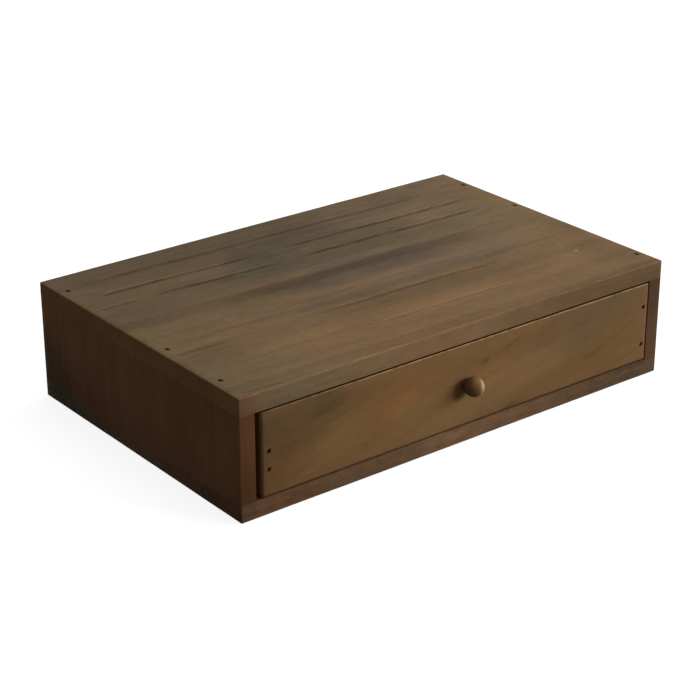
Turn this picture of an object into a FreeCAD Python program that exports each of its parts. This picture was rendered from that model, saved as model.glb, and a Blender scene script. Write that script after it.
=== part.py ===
"""Flat wooden desk chest with one drawer, in millimetres.

The origin is the middle of the case's underside. +X points to the right of the
front, -Y out of the front and +Z up. Case boards and case nails are drawn from
the case's lower left front corner, drawer pieces from the drawer's.
"""

import FreeCAD, Part
import Sketcher
import math
import os
import re

# Alias, value and meaning of every driving dimension.
SIZES = [
    ("case_width", 340, "outside width of the case"),
    ("case_depth", 220, "front to back of the case"),
    ("case_height", 80, "underside to top of the case"),
    ("top_thickness", 12, "top board"),
    ("bottom_thickness", 11.5, "bottom board"),
    ("side_thickness", 10.8, "left and right boards of the case"),
    ("back_thickness", 6, "back panel"),
    ("rabbet_width", 6, "how far the back panel reaches into each side board"),
    ("panel_slack", 0.2, "play of the back panel and the drawer bottom at their edges"),
    ("case_easing", 1, "radius of the case's outer edges"),
    ("drawer_gap_left", 3.7, "between the case and the drawer's left side"),
    ("drawer_gap_right", 0.7, "between the case and the drawer's right side"),
    ("drawer_gap_top", 1.3, "between the drawer front and the top board"),
    ("drawer_gap_rear", 1, "between the closed drawer and the back panel"),
    ("front_lift", 0.3, "drawer front above the edges that the drawer runs on"),
    ("front_thickness", 10, "drawer front"),
    ("front_easing", 1.2, "radius of the drawer front's edges"),
    ("drawer_side_thickness", 9, "drawer sides"),
    ("drawer_side_height", 48, "drawer sides, from their running edge"),
    ("drawer_back_thickness", 9, "drawer back"),
    ("drawer_easing", 1.2, "radius of the upper edges of the drawer's sides and back"),
    ("drawer_bottom_thickness", 3, "drawer bottom panel"),
    ("groove_height", 5, "running edge to the underside of the drawer bottom"),
    ("groove_depth", 4, "how far the drawer bottom reaches into sides and front"),
    ("groove_slack", 0.1, "play above the drawer bottom in its grooves"),
    ("nail_shank_diameter", 1.2, "nail shank"),
    ("nail_head_diameter", 2, "nail head"),
    ("nail_head_thickness", 0.6, "nail head"),
    ("nail_length", 25, "nail shank, from under the head to the tip"),
    ("nail_point_length", 1.5, "tapered end of a nail"),
    ("brad_shank_diameter", 1, "brad shank"),
    ("brad_head_diameter", 1.7, "brad head"),
    ("brad_length", 14, "brad shank, from under the head to the tip"),
    ("point_diameter", 0.3, "blunt tip of nails and brads"),
    ("punch_depth", 0.6, "nail heads below the wood's surface"),
    ("fastener_play", 0.05, "radial play of nails and screw in their holes"),
    ("top_nail_line_left", 6.4, "left end to the line of the left top nails"),
    ("top_nail_line_right", 5.1, "right end to the line of the right top nails"),
    ("top_nail_front_left", 26.8, "front edge to the first nail on the left"),
    ("top_nail_middle_left", 81.7, "front edge to the second nail on the left"),
    ("top_nail_rear_left", 24.7, "rear edge to the last nail on the left"),
    ("top_nail_front_right", 18.3, "front edge to the first nail on the right"),
    ("top_nail_middle_right", 82.9, "rear edge to the second nail on the right"),
    ("top_nail_rear_right", 28.1, "rear edge to the last nail on the right"),
    ("bottom_nail_inset", 25, "front and rear edge to the bottom board's end nails"),
    ("back_nail_inset", 12, "lower and upper edge to the back panel's brads"),
    ("front_nail_line_left", 5.8, "drawer front's left end to its left nails"),
    ("front_nail_line_right", 3.8, "drawer front's right end to its right nails"),
    ("front_nail_low_left", 17.7, "running edge to the drawer front's lower left nail"),
    ("front_nail_high_left", 29.5, "running edge to the drawer front's upper left nail"),
    ("front_nail_low_right", 12.4, "running edge to the drawer front's lower right nail"),
    ("front_nail_high_right", 39.1, "running edge to the drawer front's upper right nail"),
    ("drawer_back_nail_low", 17, "running edge to the drawer back's lower nails"),
    ("drawer_back_nail_high", 38, "running edge to the drawer back's upper nails"),
    ("bottom_brad_inset", 32, "drawer side to the outer brads of the drawer bottom"),
    ("knob_shift", 1, "how far the knob is left of the drawer front's middle"),
    ("knob_rise", 1.1, "how far the knob is above the drawer front's middle"),
    ("knob_diameter", 12.8, "ball of the knob"),
    ("knob_projection", 13.4, "drawer front to the end of the knob"),
    ("knob_neck_diameter", 7.5, "neck of the knob"),
    ("knob_neck_fillet", 0.8, "hollow between neck and ball"),
    ("screw_diameter", 3, "shank of the knob's screw"),
    ("screw_head_diameter", 6, "countersunk head of the knob's screw"),
    ("screw_reach", 8, "how far the screw goes into the knob"),
    ("screw_point_length", 3, "tapered end of the knob's screw"),
    ("screw_slot_width", 0.9, "cross recess in the screw's head"),
    ("screw_slot_length", 3.6, "cross recess in the screw's head"),
    ("screw_slot_depth", 1, "cross recess in the screw's head"),
    ("screw_pilot_spare", 0.8, "knob's hole beyond the screw's tip"),
]

# Sizes that follow from the driving ones, as formulas.
OPENING_HEIGHT = "(case_height - top_thickness - bottom_thickness)"
SIDE_MIDDLE = "(side_thickness / 2)"
DRAWER_WIDTH = "(case_width - 2 * side_thickness - drawer_gap_left - drawer_gap_right)"
DRAWER_LENGTH = "(case_depth - back_thickness - drawer_gap_rear)"
FRONT_HEIGHT = f"({OPENING_HEIGHT} - drawer_gap_top - front_lift)"
KNOB_ACROSS = f"({DRAWER_WIDTH} / 2 - knob_shift)"
KNOB_UP = f"({FRONT_HEIGHT} / 2 + knob_rise)"
DRAWER_SIDE_LENGTH = f"({DRAWER_LENGTH} - front_thickness)"
DRAWER_BACK_WIDTH = f"({DRAWER_WIDTH} - 2 * drawer_side_thickness)"
DRAWER_BACK_FOOT = "(groove_height + drawer_bottom_thickness)"
DRAWER_BACK_HEIGHT = f"(drawer_side_height - {DRAWER_BACK_FOOT})"
DRAWER_BACK_MIDDLE = "(drawer_back_thickness / 2)"
GROOVE_START = "(drawer_side_thickness - groove_depth)"
RABBET_START = "(side_thickness - rabbet_width)"
BACK_WIDTH = f"(case_width - 2 * {RABBET_START} - 2 * panel_slack)"
BACK_HEIGHT = f"({OPENING_HEIGHT} - panel_slack)"
BRAD_LINE = "(rabbet_width / 2)"
NAIL_SEAT = "(punch_depth + nail_head_thickness)"
SCREW_LENGTH = "(front_thickness + screw_reach)"
SCREW_HEAD_HEIGHT = "((screw_head_diameter - screw_diameter) / 2)"

CASE_CORNER = ("-case_width / 2", "-case_depth / 2", "0")
DRAWER_CORNER = (
    "-case_width / 2 + side_thickness + drawer_gap_left",
    "-case_depth / 2",
    "bottom_thickness",
)

# Sides of a board's box: the axis that each is on, and whether it is the far end.
BOARD_ENDS = {
    "left": ("X", False),
    "right": ("X", True),
    "front": ("Y", False),
    "rear": ("Y", True),
    "bottom": ("Z", False),
    "top": ("Z", True),
}
CORNER_EDGES = [("left", "front"), ("left", "rear"), ("right", "front"), ("right", "rear")]
TOP_EDGES = [("top", end) for end in ("left", "right", "front", "rear")]
BOTTOM_EDGES = [("bottom", end) for end in ("left", "right", "front", "rear")]

TOLERANCE = 1e-6
COUNTERSINK_ANGLE = 90
FULL_TURN = 360

# The end of a nail group's box where its points are, from the plane that it is
# drawn on and whether its heads face against the plane's normal.
POINT_ENDS = {
    ("XY_Plane", False): "bottom",
    ("XY_Plane", True): "top",
    ("XZ_Plane", False): "rear",
    ("XZ_Plane", True): "front",
    ("YZ_Plane", False): "left",
    ("YZ_Plane", True): "right",
}

doc = FreeCAD.newDocument("desk_chest")
sheet = doc.addObject("Spreadsheet::Sheet", "sizes")
pieces = []


def fill_sheet():
    """Write every driving dimension into the sheet, one row each."""
    for row, (alias, value, meaning) in enumerate(SIZES, start=1):
        sheet.set(f"A{row}", alias)
        sheet.set(f"B{row}", str(value))
        sheet.setAlias(f"B{row}", alias)
        sheet.set(f"C{row}", meaning)
    doc.recompute()


def size(alias):
    """Return the size that the sheet holds under the alias."""
    return getattr(sheet, alias)


def bind(thing, quantity, formula):
    """Tie a quantity of an object to a formula of the sheet's aliases."""
    thing.setExpression(quantity, re.sub(r"[a-z]\w*", r"sizes.\g<0>", formula))


def moved(corner, *shift):
    """Return the corner's three formulas, moved by three more."""
    return tuple(f"{start} + {step}" for start, step in zip(corner, shift))


def new_body(label, corner, rotation=FreeCAD.Rotation()):
    """Start a sub-part with its own label and a placement bound to the sheet."""
    body = doc.addObject("PartDesign::Body", label)
    body.Label = label
    body.Placement = FreeCAD.Placement(FreeCAD.Vector(), rotation)
    for axis, formula in zip("xyz", corner):
        bind(body, f"Placement.Base.{axis}", formula)
    pieces.append(body)
    return body


def new_sketch(body, name, role, level="0"):
    """Start a sketch on one of the body's own planes, level above it."""
    sketch = body.newObject("Sketcher::SketchObject", f"{body.Label}_{name}")
    plane = next(item for item in body.Origin.OriginFeatures if item.Role == role)
    sketch.AttachmentSupport = [(plane, "")]
    sketch.MapMode = "FlatFace"
    bind(sketch, "AttachmentOffset.Base.z", level)
    return sketch


def constrain(sketch, formula, kind, *rest):
    """Add a dimension to the sketch and bind it to the formula."""
    index = sketch.addConstraint(Sketcher.Constraint(kind, *rest, 1.0))
    bind(sketch, f"Constraints[{index}]", formula)


def draw_rectangle(sketch, left, low, width, height):
    """Draw a rectangle whose lower left corner and size follow four formulas.

    It starts as a unit square, which its dimensions then place and stretch.
    """
    first = sketch.GeometryCount
    corners = [(1, 1), (2, 1), (2, 2), (1, 2)]
    points = [FreeCAD.Vector(x, y, 0) for x, y in corners]
    for turn in range(4):
        sketch.addGeometry(Part.LineSegment(points[turn], points[(turn + 1) % 4]), False)
    for turn in range(4):
        following = first + (turn + 1) % 4
        sketch.addConstraint(Sketcher.Constraint("Coincident", first + turn, 2, following, 1))
    for turn, direction in enumerate(["Horizontal", "Vertical", "Horizontal", "Vertical"]):
        sketch.addConstraint(Sketcher.Constraint(direction, first + turn))
    constrain(sketch, left, "DistanceX", -1, 1, first, 1)
    constrain(sketch, low, "DistanceY", -1, 1, first, 1)
    constrain(sketch, width, "DistanceX", first, 1, first, 2)
    constrain(sketch, height, "DistanceY", first + 1, 1, first + 1, 2)


def draw_circles(sketch, places, diameter):
    """Draw one circle at each pair of formulas."""
    for across, up in places:
        circle = Part.Circle(FreeCAD.Vector(1, 1, 0), FreeCAD.Vector(0, 0, 1), 1)
        index = sketch.addGeometry(circle, False)
        constrain(sketch, across, "DistanceX", -1, 1, index, 3)
        constrain(sketch, up, "DistanceY", -1, 1, index, 3)
        constrain(sketch, diameter, "Diameter", index)


def add_pad(body, sketch, length, reverse=False):
    """Pad the sketch along its normal, or against it."""
    pad = body.newObject("PartDesign::Pad", f"{sketch.Label}_pad")
    pad.Profile = sketch
    pad.Reversed = reverse
    bind(pad, "Length", length)
    doc.recompute()
    return pad


def check_cut(body, volume_before):
    """Stop if the last cut took no wood away."""
    doc.recompute()
    if body.Shape.Volume > volume_before - TOLERANCE:
        raise RuntimeError(f"{body.Tip.Label} cuts nothing")


def add_slot(body, name, role, rectangle, level="0", depth=None, reverse=False):
    """Cut a rectangular slot, right through both ways where no depth is given."""
    sketch = new_sketch(body, name, role, level)
    draw_rectangle(sketch, *rectangle)
    before = body.Shape.Volume
    pocket = body.newObject("PartDesign::Pocket", f"{sketch.Label}_cut")
    pocket.Profile = sketch
    if depth is None:
        pocket.Type = "ThroughAll"
        pocket.Midplane = True
    else:
        pocket.Reversed = reverse
        bind(pocket, "Length", depth)
    check_cut(body, before)


def add_holes(body, name, role, level, places, diameter, depth=None, head=None, reverse=False):
    """Drill round holes from a level into the wood, with a wider mouth for a head.

    They go against the plane's normal unless reversed. A head is the cut's type,
    the head's diameter and, for a counterbore, its depth.
    """
    sketch = new_sketch(body, name, role, level)
    draw_circles(sketch, places, diameter)
    doc.recompute()
    before = body.Shape.Volume
    hole = body.newObject("PartDesign::Hole", f"{sketch.Label}_hole")
    hole.Profile = sketch
    hole.ThreadType = "None"
    hole.DrillPoint = "Flat"
    hole.Reversed = reverse
    bind(hole, "Diameter", f"{diameter} + 2 * fastener_play")
    if depth is None:
        hole.DepthType = "ThroughAll"
    else:
        hole.DepthType = "Dimension"
        bind(hole, "Depth", depth)
    if head is not None:
        kind, head_diameter, head_depth = head
        hole.HoleCutType = kind
        hole.HoleCutCustomValues = True
        bind(hole, "HoleCutDiameter", f"{head_diameter} + 2 * fastener_play")
        if kind == "Counterbore":
            bind(hole, "HoleCutDepth", head_depth)
        else:
            hole.HoleCutCountersinkAngle = COUNTERSINK_ANGLE
    check_cut(body, before)


def edge_names(feature, side_pairs):
    """Name the feature's edges that lie on both sides of each pair."""
    box = feature.Shape.BoundBox

    def lies_on(edge, end):
        axis, far = BOARD_ENDS[end]
        level = getattr(box, axis + ("Max" if far else "Min"))
        low = getattr(edge.BoundBox, axis + "Min")
        high = getattr(edge.BoundBox, axis + "Max")
        return abs(low - level) < TOLERANCE and abs(high - level) < TOLERANCE

    names = []
    for number, edge in enumerate(feature.Shape.Edges, start=1):
        if any(all(lies_on(edge, end) for end in pair) for pair in side_pairs):
            names.append(f"Edge{number}")
    return names


def ease_edges(body, side_pairs, radius):
    """Round the edges of the body's board that lie on the given sides."""
    board = body.Tip
    fillet = body.newObject("PartDesign::Fillet", f"{body.Label}_easing")
    fillet.Base = (board, edge_names(board, side_pairs))
    bind(fillet, "Radius", radius)
    doc.recompute()


def make_board(label, corner, width, depth, height, eased_edges=(), easing=None):
    """Make a rectangular board from its lower left front corner."""
    body = new_body(label, corner)
    sketch = new_sketch(body, "outline", "XY_Plane")
    draw_rectangle(sketch, "0", "0", width, depth)
    add_pad(body, sketch, height)
    if eased_edges:
        ease_edges(body, eased_edges, easing)
    return body


def make_nails(label, corner, role, level, places, kind="nail", reverse=False):
    """Make a group of nails or brads whose heads face along the plane's normal.

    The level is the surface that they are driven into. Reversed, their heads
    face the other way.
    """
    body = new_body(label, corner)
    way = "+" if reverse else "-"
    seat = f"{level} {way} {NAIL_SEAT}"
    shanks = new_sketch(body, "shanks", role, seat)
    draw_circles(shanks, places, f"{kind}_shank_diameter")
    shank = add_pad(body, shanks, f"{kind}_length", not reverse)
    point = body.newObject("PartDesign::Chamfer", f"{label}_points")
    end = POINT_ENDS[role, reverse]
    point.Base = (shank, edge_names(shank, [(end, end)]))
    point.ChamferType = "Two distances"
    bind(point, "Size", "nail_point_length")
    bind(point, "Size2", f"({kind}_shank_diameter - point_diameter) / 2")
    doc.recompute()
    heads = new_sketch(body, "heads", role, seat)
    draw_circles(heads, places, f"{kind}_head_diameter")
    add_pad(body, heads, "nail_head_thickness", reverse)
    return body


def case_nails(side, at_top):
    """Return the distances from the front edge of one side's case nails."""
    if at_top:
        middle = {"left": "top_nail_middle_left", "right": "case_depth - top_nail_middle_right"}
        return [f"top_nail_front_{side}", middle[side], f"case_depth - top_nail_rear_{side}"]
    return ["bottom_nail_inset", "case_depth / 2", "case_depth - bottom_nail_inset"]


def case_nail_inset(side, at_top):
    """Return how far one side's case nails are from that end of the case."""
    return f"top_nail_line_{side}" if at_top else SIDE_MIDDLE


def side_line(side, width, inset):
    """Return how far a line of nails at one end is from the left edge."""
    return inset if side == "left" else f"{width} - {inset}"


def build_top_and_bottom():
    """Make the top and bottom boards, with holes for the nails of both sides."""
    rows = {}
    for at_top in (True, False):
        rows[at_top] = [
            (side_line(side, "case_width", case_nail_inset(side, at_top)), along)
            for side in ("left", "right")
            for along in case_nails(side, at_top)
        ]
    head = ("Counterbore", "nail_head_diameter", NAIL_SEAT)

    top_corner = moved(CASE_CORNER, "0", "0", "case_height - top_thickness")
    board = ("case_width", "case_depth", "top_thickness", TOP_EDGES + CORNER_EDGES, "case_easing")
    top = make_board("top_board", top_corner, *board)
    add_holes(top, "nail_holes", "XY_Plane", "top_thickness", rows[True],
              "nail_shank_diameter", head=head)

    board = ("case_width", "case_depth", "bottom_thickness", BOTTOM_EDGES + CORNER_EDGES,
             "case_easing")
    bottom = make_board("bottom_board", CASE_CORNER, *board)
    add_holes(bottom, "nail_holes", "XY_Plane", "0", rows[False],
              "nail_shank_diameter", head=head, reverse=True)


def build_case_sides():
    """Make the end boards, rabbeted for the back panel and drilled for the nails."""
    outer_corners = {
        "left": [("left", "front"), ("left", "rear")],
        "right": [("right", "front"), ("right", "rear")],
    }
    starts = {"left": "0", "right": "case_width - side_thickness"}
    rabbet_starts = {"left": RABBET_START, "right": "0"}
    for side in ("left", "right"):
        corner = moved(CASE_CORNER, starts[side], "0", "bottom_thickness")
        board = make_board(f"{side}_side", corner, "side_thickness", "case_depth",
                           OPENING_HEIGHT, outer_corners[side], "case_easing")
        rabbet = (rabbet_starts[side], "case_depth - back_thickness", "rabbet_width",
                  "back_thickness")
        add_slot(board, "rabbet", "XY_Plane", rabbet)
        line = side_line(side, "side_thickness", case_nail_inset(side, True))
        upper = [(line, along) for along in case_nails(side, True)]
        add_holes(board, "upper_nail_holes", "XY_Plane", OPENING_HEIGHT, upper,
                  "nail_shank_diameter", f"{NAIL_SEAT} + nail_length - top_thickness")
        lower = [(SIDE_MIDDLE, along) for along in case_nails(side, False)]
        add_holes(board, "lower_nail_holes", "XY_Plane", "0", lower, "nail_shank_diameter",
                  f"{NAIL_SEAT} + nail_length - bottom_thickness", reverse=True)
        brad_line = side_line(side, "side_thickness", f"(side_thickness - {BRAD_LINE})")
        brads = [(brad_line, up) for up in ("back_nail_inset", f"{BACK_HEIGHT} - back_nail_inset")]
        add_holes(board, "back_brad_holes", "XZ_Plane", "-(case_depth - back_thickness)", brads,
                  "brad_shank_diameter", f"{NAIL_SEAT} + brad_length - back_thickness",
                  reverse=True)


def build_back_panel():
    """Make the panel that closes the case behind the drawer."""
    corner = moved(CASE_CORNER, f"{RABBET_START} + panel_slack",
                   "case_depth - back_thickness", "bottom_thickness")
    panel = make_board("back_panel", corner, BACK_WIDTH, "back_thickness", BACK_HEIGHT)
    places = [
        (side_line(side, BACK_WIDTH, f"({BRAD_LINE} - panel_slack)"), up)
        for side in ("left", "right")
        for up in ("back_nail_inset", f"{BACK_HEIGHT} - back_nail_inset")
    ]
    add_holes(panel, "brad_holes", "XZ_Plane", "-back_thickness", places,
              "brad_shank_diameter", head=("Counterbore", "brad_head_diameter", NAIL_SEAT),
              reverse=True)


def build_case_nails():
    """Make the nails of the top, bottom and back, a group for each side."""
    for side in ("left", "right"):
        line = side_line(side, "case_width", case_nail_inset(side, True))
        upper = [(line, along) for along in case_nails(side, True)]
        make_nails(f"top_nails_{side}", CASE_CORNER, "XY_Plane", "case_height", upper)
        line = side_line(side, "case_width", case_nail_inset(side, False))
        lower = [(line, along) for along in case_nails(side, False)]
        make_nails(f"bottom_nails_{side}", CASE_CORNER, "XY_Plane", "0", lower, reverse=True)
        brad_line = side_line(side, "case_width", f"({RABBET_START} + {BRAD_LINE})")
        low = "bottom_thickness + back_nail_inset"
        high = f"bottom_thickness + {BACK_HEIGHT} - back_nail_inset"
        make_nails(f"back_nails_{side}", CASE_CORNER, "XZ_Plane", "-case_depth",
                   [(brad_line, low), (brad_line, high)], kind="brad", reverse=True)


def front_nails(side):
    """Return the heights of one end's drawer front nails over the running edge."""
    return [f"front_nail_low_{side}", f"front_nail_high_{side}"]


def build_drawer_front():
    """Make the drawer front, grooved inside for the bottom and drilled for the knob."""
    corner = moved(DRAWER_CORNER, "0", "0", "front_lift")
    short_edges = [(end, side) for end in ("top", "bottom") for side in ("left", "right")]
    face_edges = [("front", end) for end in ("left", "right", "top", "bottom")]
    front = make_board("drawer_front", corner, DRAWER_WIDTH, "front_thickness", FRONT_HEIGHT,
                       face_edges + short_edges, "front_easing")
    groove = (GROOVE_START, "groove_height - front_lift",
              f"{DRAWER_WIDTH} - 2 * {GROOVE_START}", "drawer_bottom_thickness + groove_slack")
    add_slot(front, "groove", "XZ_Plane", groove, "-front_thickness", "groove_depth", reverse=True)
    places = [
        (side_line(side, DRAWER_WIDTH, f"front_nail_line_{side}"), f"{up} - front_lift")
        for side in ("left", "right")
        for up in front_nails(side)
    ]
    add_holes(front, "nail_holes", "XZ_Plane", "0", places, "nail_shank_diameter",
              head=("Counterbore", "nail_head_diameter", NAIL_SEAT))
    add_holes(front, "screw_hole", "XZ_Plane", "-front_thickness", [(KNOB_ACROSS, KNOB_UP)],
              "screw_diameter", head=("Countersink", "screw_head_diameter", None), reverse=True)


def build_drawer_sides():
    """Make the drawer sides, grooved for the bottom and drilled at both ends."""
    starts = {"left": "0", "right": f"{DRAWER_WIDTH} - drawer_side_thickness"}
    groove_starts = {"left": GROOVE_START, "right": "0"}
    outer_faces = {"left": ("0", True), "right": ("drawer_side_thickness", False)}
    top_edges = [("top", "left"), ("top", "right")]
    for side in ("left", "right"):
        corner = moved(DRAWER_CORNER, starts[side], "front_thickness", "0")
        board = make_board(f"drawer_{side}_side", corner, "drawer_side_thickness",
                           DRAWER_SIDE_LENGTH, "drawer_side_height", top_edges, "drawer_easing")
        groove = (groove_starts[side], "groove_height", "groove_depth",
                  "drawer_bottom_thickness + groove_slack")
        add_slot(board, "groove", "XZ_Plane", groove)
        line = side_line(side, "drawer_side_thickness", f"front_nail_line_{side}")
        places = [(line, up) for up in front_nails(side)]
        add_holes(board, "front_nail_holes", "XZ_Plane", "0", places, "nail_shank_diameter",
                  f"{NAIL_SEAT} + nail_length - front_thickness")
        level, reverse = outer_faces[side]
        places = [
            (f"{DRAWER_SIDE_LENGTH} - {DRAWER_BACK_MIDDLE}", up)
            for up in ("drawer_back_nail_low", "drawer_back_nail_high")
        ]
        add_holes(board, "back_nail_holes", "YZ_Plane", level, places, "nail_shank_diameter",
                  head=("Counterbore", "nail_head_diameter", NAIL_SEAT), reverse=reverse)


def brad_places():
    """Return how far the drawer bottom's brads are from the drawer's left side."""
    first = "(drawer_side_thickness + bottom_brad_inset)"
    step = f"(({DRAWER_WIDTH} - 2 * {first}) / 3)"
    return [f"{first} + {number} * {step}" for number in range(4)]


def build_drawer_back():
    """Make the drawer back, which stands on the bottom panel between the sides."""
    corner = moved(DRAWER_CORNER, "drawer_side_thickness",
                   f"{DRAWER_LENGTH} - drawer_back_thickness", DRAWER_BACK_FOOT)
    back = make_board("drawer_back", corner, DRAWER_BACK_WIDTH, "drawer_back_thickness",
                      DRAWER_BACK_HEIGHT, [("top", "front"), ("top", "rear")], "drawer_easing")
    places = [
        (DRAWER_BACK_MIDDLE, f"{up} - {DRAWER_BACK_FOOT}")
        for up in ("drawer_back_nail_low", "drawer_back_nail_high")
    ]
    depth = f"{NAIL_SEAT} + nail_length - drawer_side_thickness"
    add_holes(back, "left_nail_holes", "YZ_Plane", "0", places, "nail_shank_diameter", depth,
              reverse=True)
    add_holes(back, "right_nail_holes", "YZ_Plane", DRAWER_BACK_WIDTH, places,
              "nail_shank_diameter", depth)
    places = [(f"{across} - drawer_side_thickness", DRAWER_BACK_MIDDLE) for across in brad_places()]
    add_holes(back, "brad_holes", "XY_Plane", "0", places, "brad_shank_diameter",
              f"{NAIL_SEAT} + brad_length - drawer_bottom_thickness", reverse=True)


def build_drawer_bottom():
    """Make the bottom panel, which lies in the grooves and under the drawer back."""
    start = f"({GROOVE_START} + panel_slack)"
    front_end = "(front_thickness - groove_depth + panel_slack)"
    corner = moved(DRAWER_CORNER, start, front_end, "groove_height")
    panel = make_board("drawer_bottom", corner, f"{DRAWER_WIDTH} - 2 * {start}",
                       f"{DRAWER_LENGTH} - {front_end}", "drawer_bottom_thickness")
    line = f"{DRAWER_LENGTH} - {DRAWER_BACK_MIDDLE} - {front_end}"
    places = [(f"{across} - {start}", line) for across in brad_places()]
    add_holes(panel, "brad_holes", "XY_Plane", "0", places, "brad_shank_diameter",
              head=("Counterbore", "brad_head_diameter", NAIL_SEAT), reverse=True)


def build_drawer_nails():
    """Make the nails and brads that hold the drawer together."""
    back_line = f"{DRAWER_LENGTH} - {DRAWER_BACK_MIDDLE}"
    outer_faces = {"left": ("0", True), "right": (DRAWER_WIDTH, False)}
    for side in ("left", "right"):
        line = side_line(side, DRAWER_WIDTH, f"front_nail_line_{side}")
        make_nails(f"front_nails_{side}", DRAWER_CORNER, "XZ_Plane", "0",
                   [(line, up) for up in front_nails(side)])
        level, reverse = outer_faces[side]
        places = [(back_line, up) for up in ("drawer_back_nail_low", "drawer_back_nail_high")]
        make_nails(f"drawer_back_nails_{side}", DRAWER_CORNER, "YZ_Plane", level, places,
                   reverse=reverse)
    make_nails("drawer_bottom_brads", DRAWER_CORNER, "XY_Plane", "groove_height",
               [(across, back_line) for across in brad_places()], kind="brad", reverse=True)


def knob_frame():
    """Return the knob's place on the drawer front, and the turn that points it outwards."""
    corner = moved(DRAWER_CORNER, KNOB_ACROSS, "0", f"front_lift + {KNOB_UP}")
    return corner, FreeCAD.Rotation(FreeCAD.Vector(1, 0, 0), 90)


def turn_profile(body, sketch):
    """Turn a closed profile round the body's own Z axis."""
    revolution = body.newObject("PartDesign::Revolution", f"{sketch.Label}_turned")
    revolution.Profile = sketch
    revolution.ReferenceAxis = (sketch, ["V_Axis"])
    revolution.Angle = FULL_TURN
    doc.recompute()
    return revolution


def chain_lines(sketch, points):
    """Join the points with lines, the first at the sketch's origin."""
    corners = [FreeCAD.Vector(x, y, 0) for x, y in points]
    for index, (start, end) in enumerate(zip(corners, corners[1:])):
        sketch.addGeometry(Part.LineSegment(start, end), False)
        if index > 0:
            sketch.addConstraint(Sketcher.Constraint("Coincident", index - 1, 2, index, 1))
    sketch.addConstraint(Sketcher.Constraint("Coincident", 0, 1, -1, 1))


def neck_ring(turned):
    """Name the ring between neck and ball: the lowest one above the foot."""
    foot = turned.Shape.BoundBox.ZMin
    rings = {}
    for number, edge in enumerate(turned.Shape.Edges, start=1):
        box = edge.BoundBox
        if box.ZLength < TOLERANCE and box.ZMin > foot + TOLERANCE:
            rings[box.ZMin] = f"Edge{number}"
    return rings[min(rings)]


def draw_knob(sketch):
    """Draw half of the knob's section: neck, ball and the axis that closes it."""
    neck = size("knob_neck_diameter") / 2
    ball = size("knob_diameter") / 2
    end = size("knob_projection")
    middle = end - ball
    neck_end = middle - math.sqrt(ball**2 - neck**2)
    chain_lines(sketch, [(0, 0), (neck, 0), (neck, neck_end)])
    circle = Part.Circle(FreeCAD.Vector(0, middle, 0), FreeCAD.Vector(0, 0, 1), ball)
    arc = Part.ArcOfCircle(circle, -math.acos(neck / ball), math.pi / 2)
    arc_index = sketch.addGeometry(arc, False)
    axis = Part.LineSegment(FreeCAD.Vector(0, end, 0), FreeCAD.Vector(0, 0, 0))
    axis_index = sketch.addGeometry(axis, False)
    joins = [
        ("Coincident", 1, 2, arc_index, 1),
        ("Coincident", arc_index, 2, axis_index, 1),
        ("Coincident", axis_index, 2, 0, 1),
        ("Horizontal", 0),
        ("Vertical", 1),
        ("Vertical", axis_index),
        ("PointOnObject", arc_index, 3, -2),
    ]
    for join in joins:
        sketch.addConstraint(Sketcher.Constraint(*join))
    constrain(sketch, "knob_neck_diameter / 2", "DistanceX", 0, 1, 0, 2)
    constrain(sketch, "knob_diameter / 2", "Radius", arc_index)
    constrain(sketch, "knob_projection", "DistanceY", axis_index, 2, axis_index, 1)


def build_knob():
    """Make the turned knob: a ball on a short neck, with a hole for its screw."""
    body = new_body("knob", *knob_frame())
    profile = new_sketch(body, "profile", "XZ_Plane")
    draw_knob(profile)
    turned = turn_profile(body, profile)
    hollow = body.newObject("PartDesign::Fillet", "knob_hollow")
    hollow.Base = (turned, [neck_ring(turned)])
    bind(hollow, "Radius", "knob_neck_fillet")
    doc.recompute()
    add_holes(body, "pilot_hole", "XY_Plane", "0", [("0", "0")], "screw_diameter",
              "screw_reach + screw_pilot_spare", reverse=True)


def draw_screw(sketch):
    """Draw half of the screw's section: head, shank, point and axis."""
    head = size("screw_head_diameter") / 2
    shank = size("screw_diameter") / 2
    tip = size("point_diameter") / 2
    length = size("front_thickness") + size("screw_reach")
    taper = length - size("screw_point_length")
    chain_lines(sketch, [(0, 0), (head, 0), (shank, head - shank), (shank, taper),
                         (tip, length), (0, length), (0, 0)])
    joins = [("Coincident", 5, 2, 0, 1), ("Horizontal", 0), ("Vertical", 2),
             ("Horizontal", 4), ("Vertical", 5)]
    for join in joins:
        sketch.addConstraint(Sketcher.Constraint(*join))
    constrain(sketch, "screw_head_diameter / 2", "DistanceX", 0, 1, 0, 2)
    constrain(sketch, SCREW_HEAD_HEIGHT, "DistanceY", 1, 1, 1, 2)
    constrain(sketch, "screw_diameter / 2", "DistanceX", -1, 1, 1, 2)
    constrain(sketch, "screw_point_length", "DistanceY", 3, 1, 3, 2)
    constrain(sketch, "point_diameter / 2", "DistanceX", -1, 1, 3, 2)
    constrain(sketch, SCREW_LENGTH, "DistanceY", 5, 2, 5, 1)


def build_knob_screw():
    """Make the countersunk screw that holds the knob from inside the drawer."""
    corner, rotation = knob_frame()
    body = new_body("knob_screw", moved(corner, "0", "front_thickness", "0"), rotation)
    profile = new_sketch(body, "profile", "XZ_Plane")
    draw_screw(profile)
    turn_profile(body, profile)
    slots = {
        "across": ("screw_slot_length", "screw_slot_width"),
        "upright": ("screw_slot_width", "screw_slot_length"),
    }
    for name, (width, height) in slots.items():
        rectangle = (f"-{width} / 2", f"-{height} / 2", width, height)
        add_slot(body, f"{name}_slot", "XY_Plane", rectangle, depth="screw_slot_depth", reverse=True)


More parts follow.
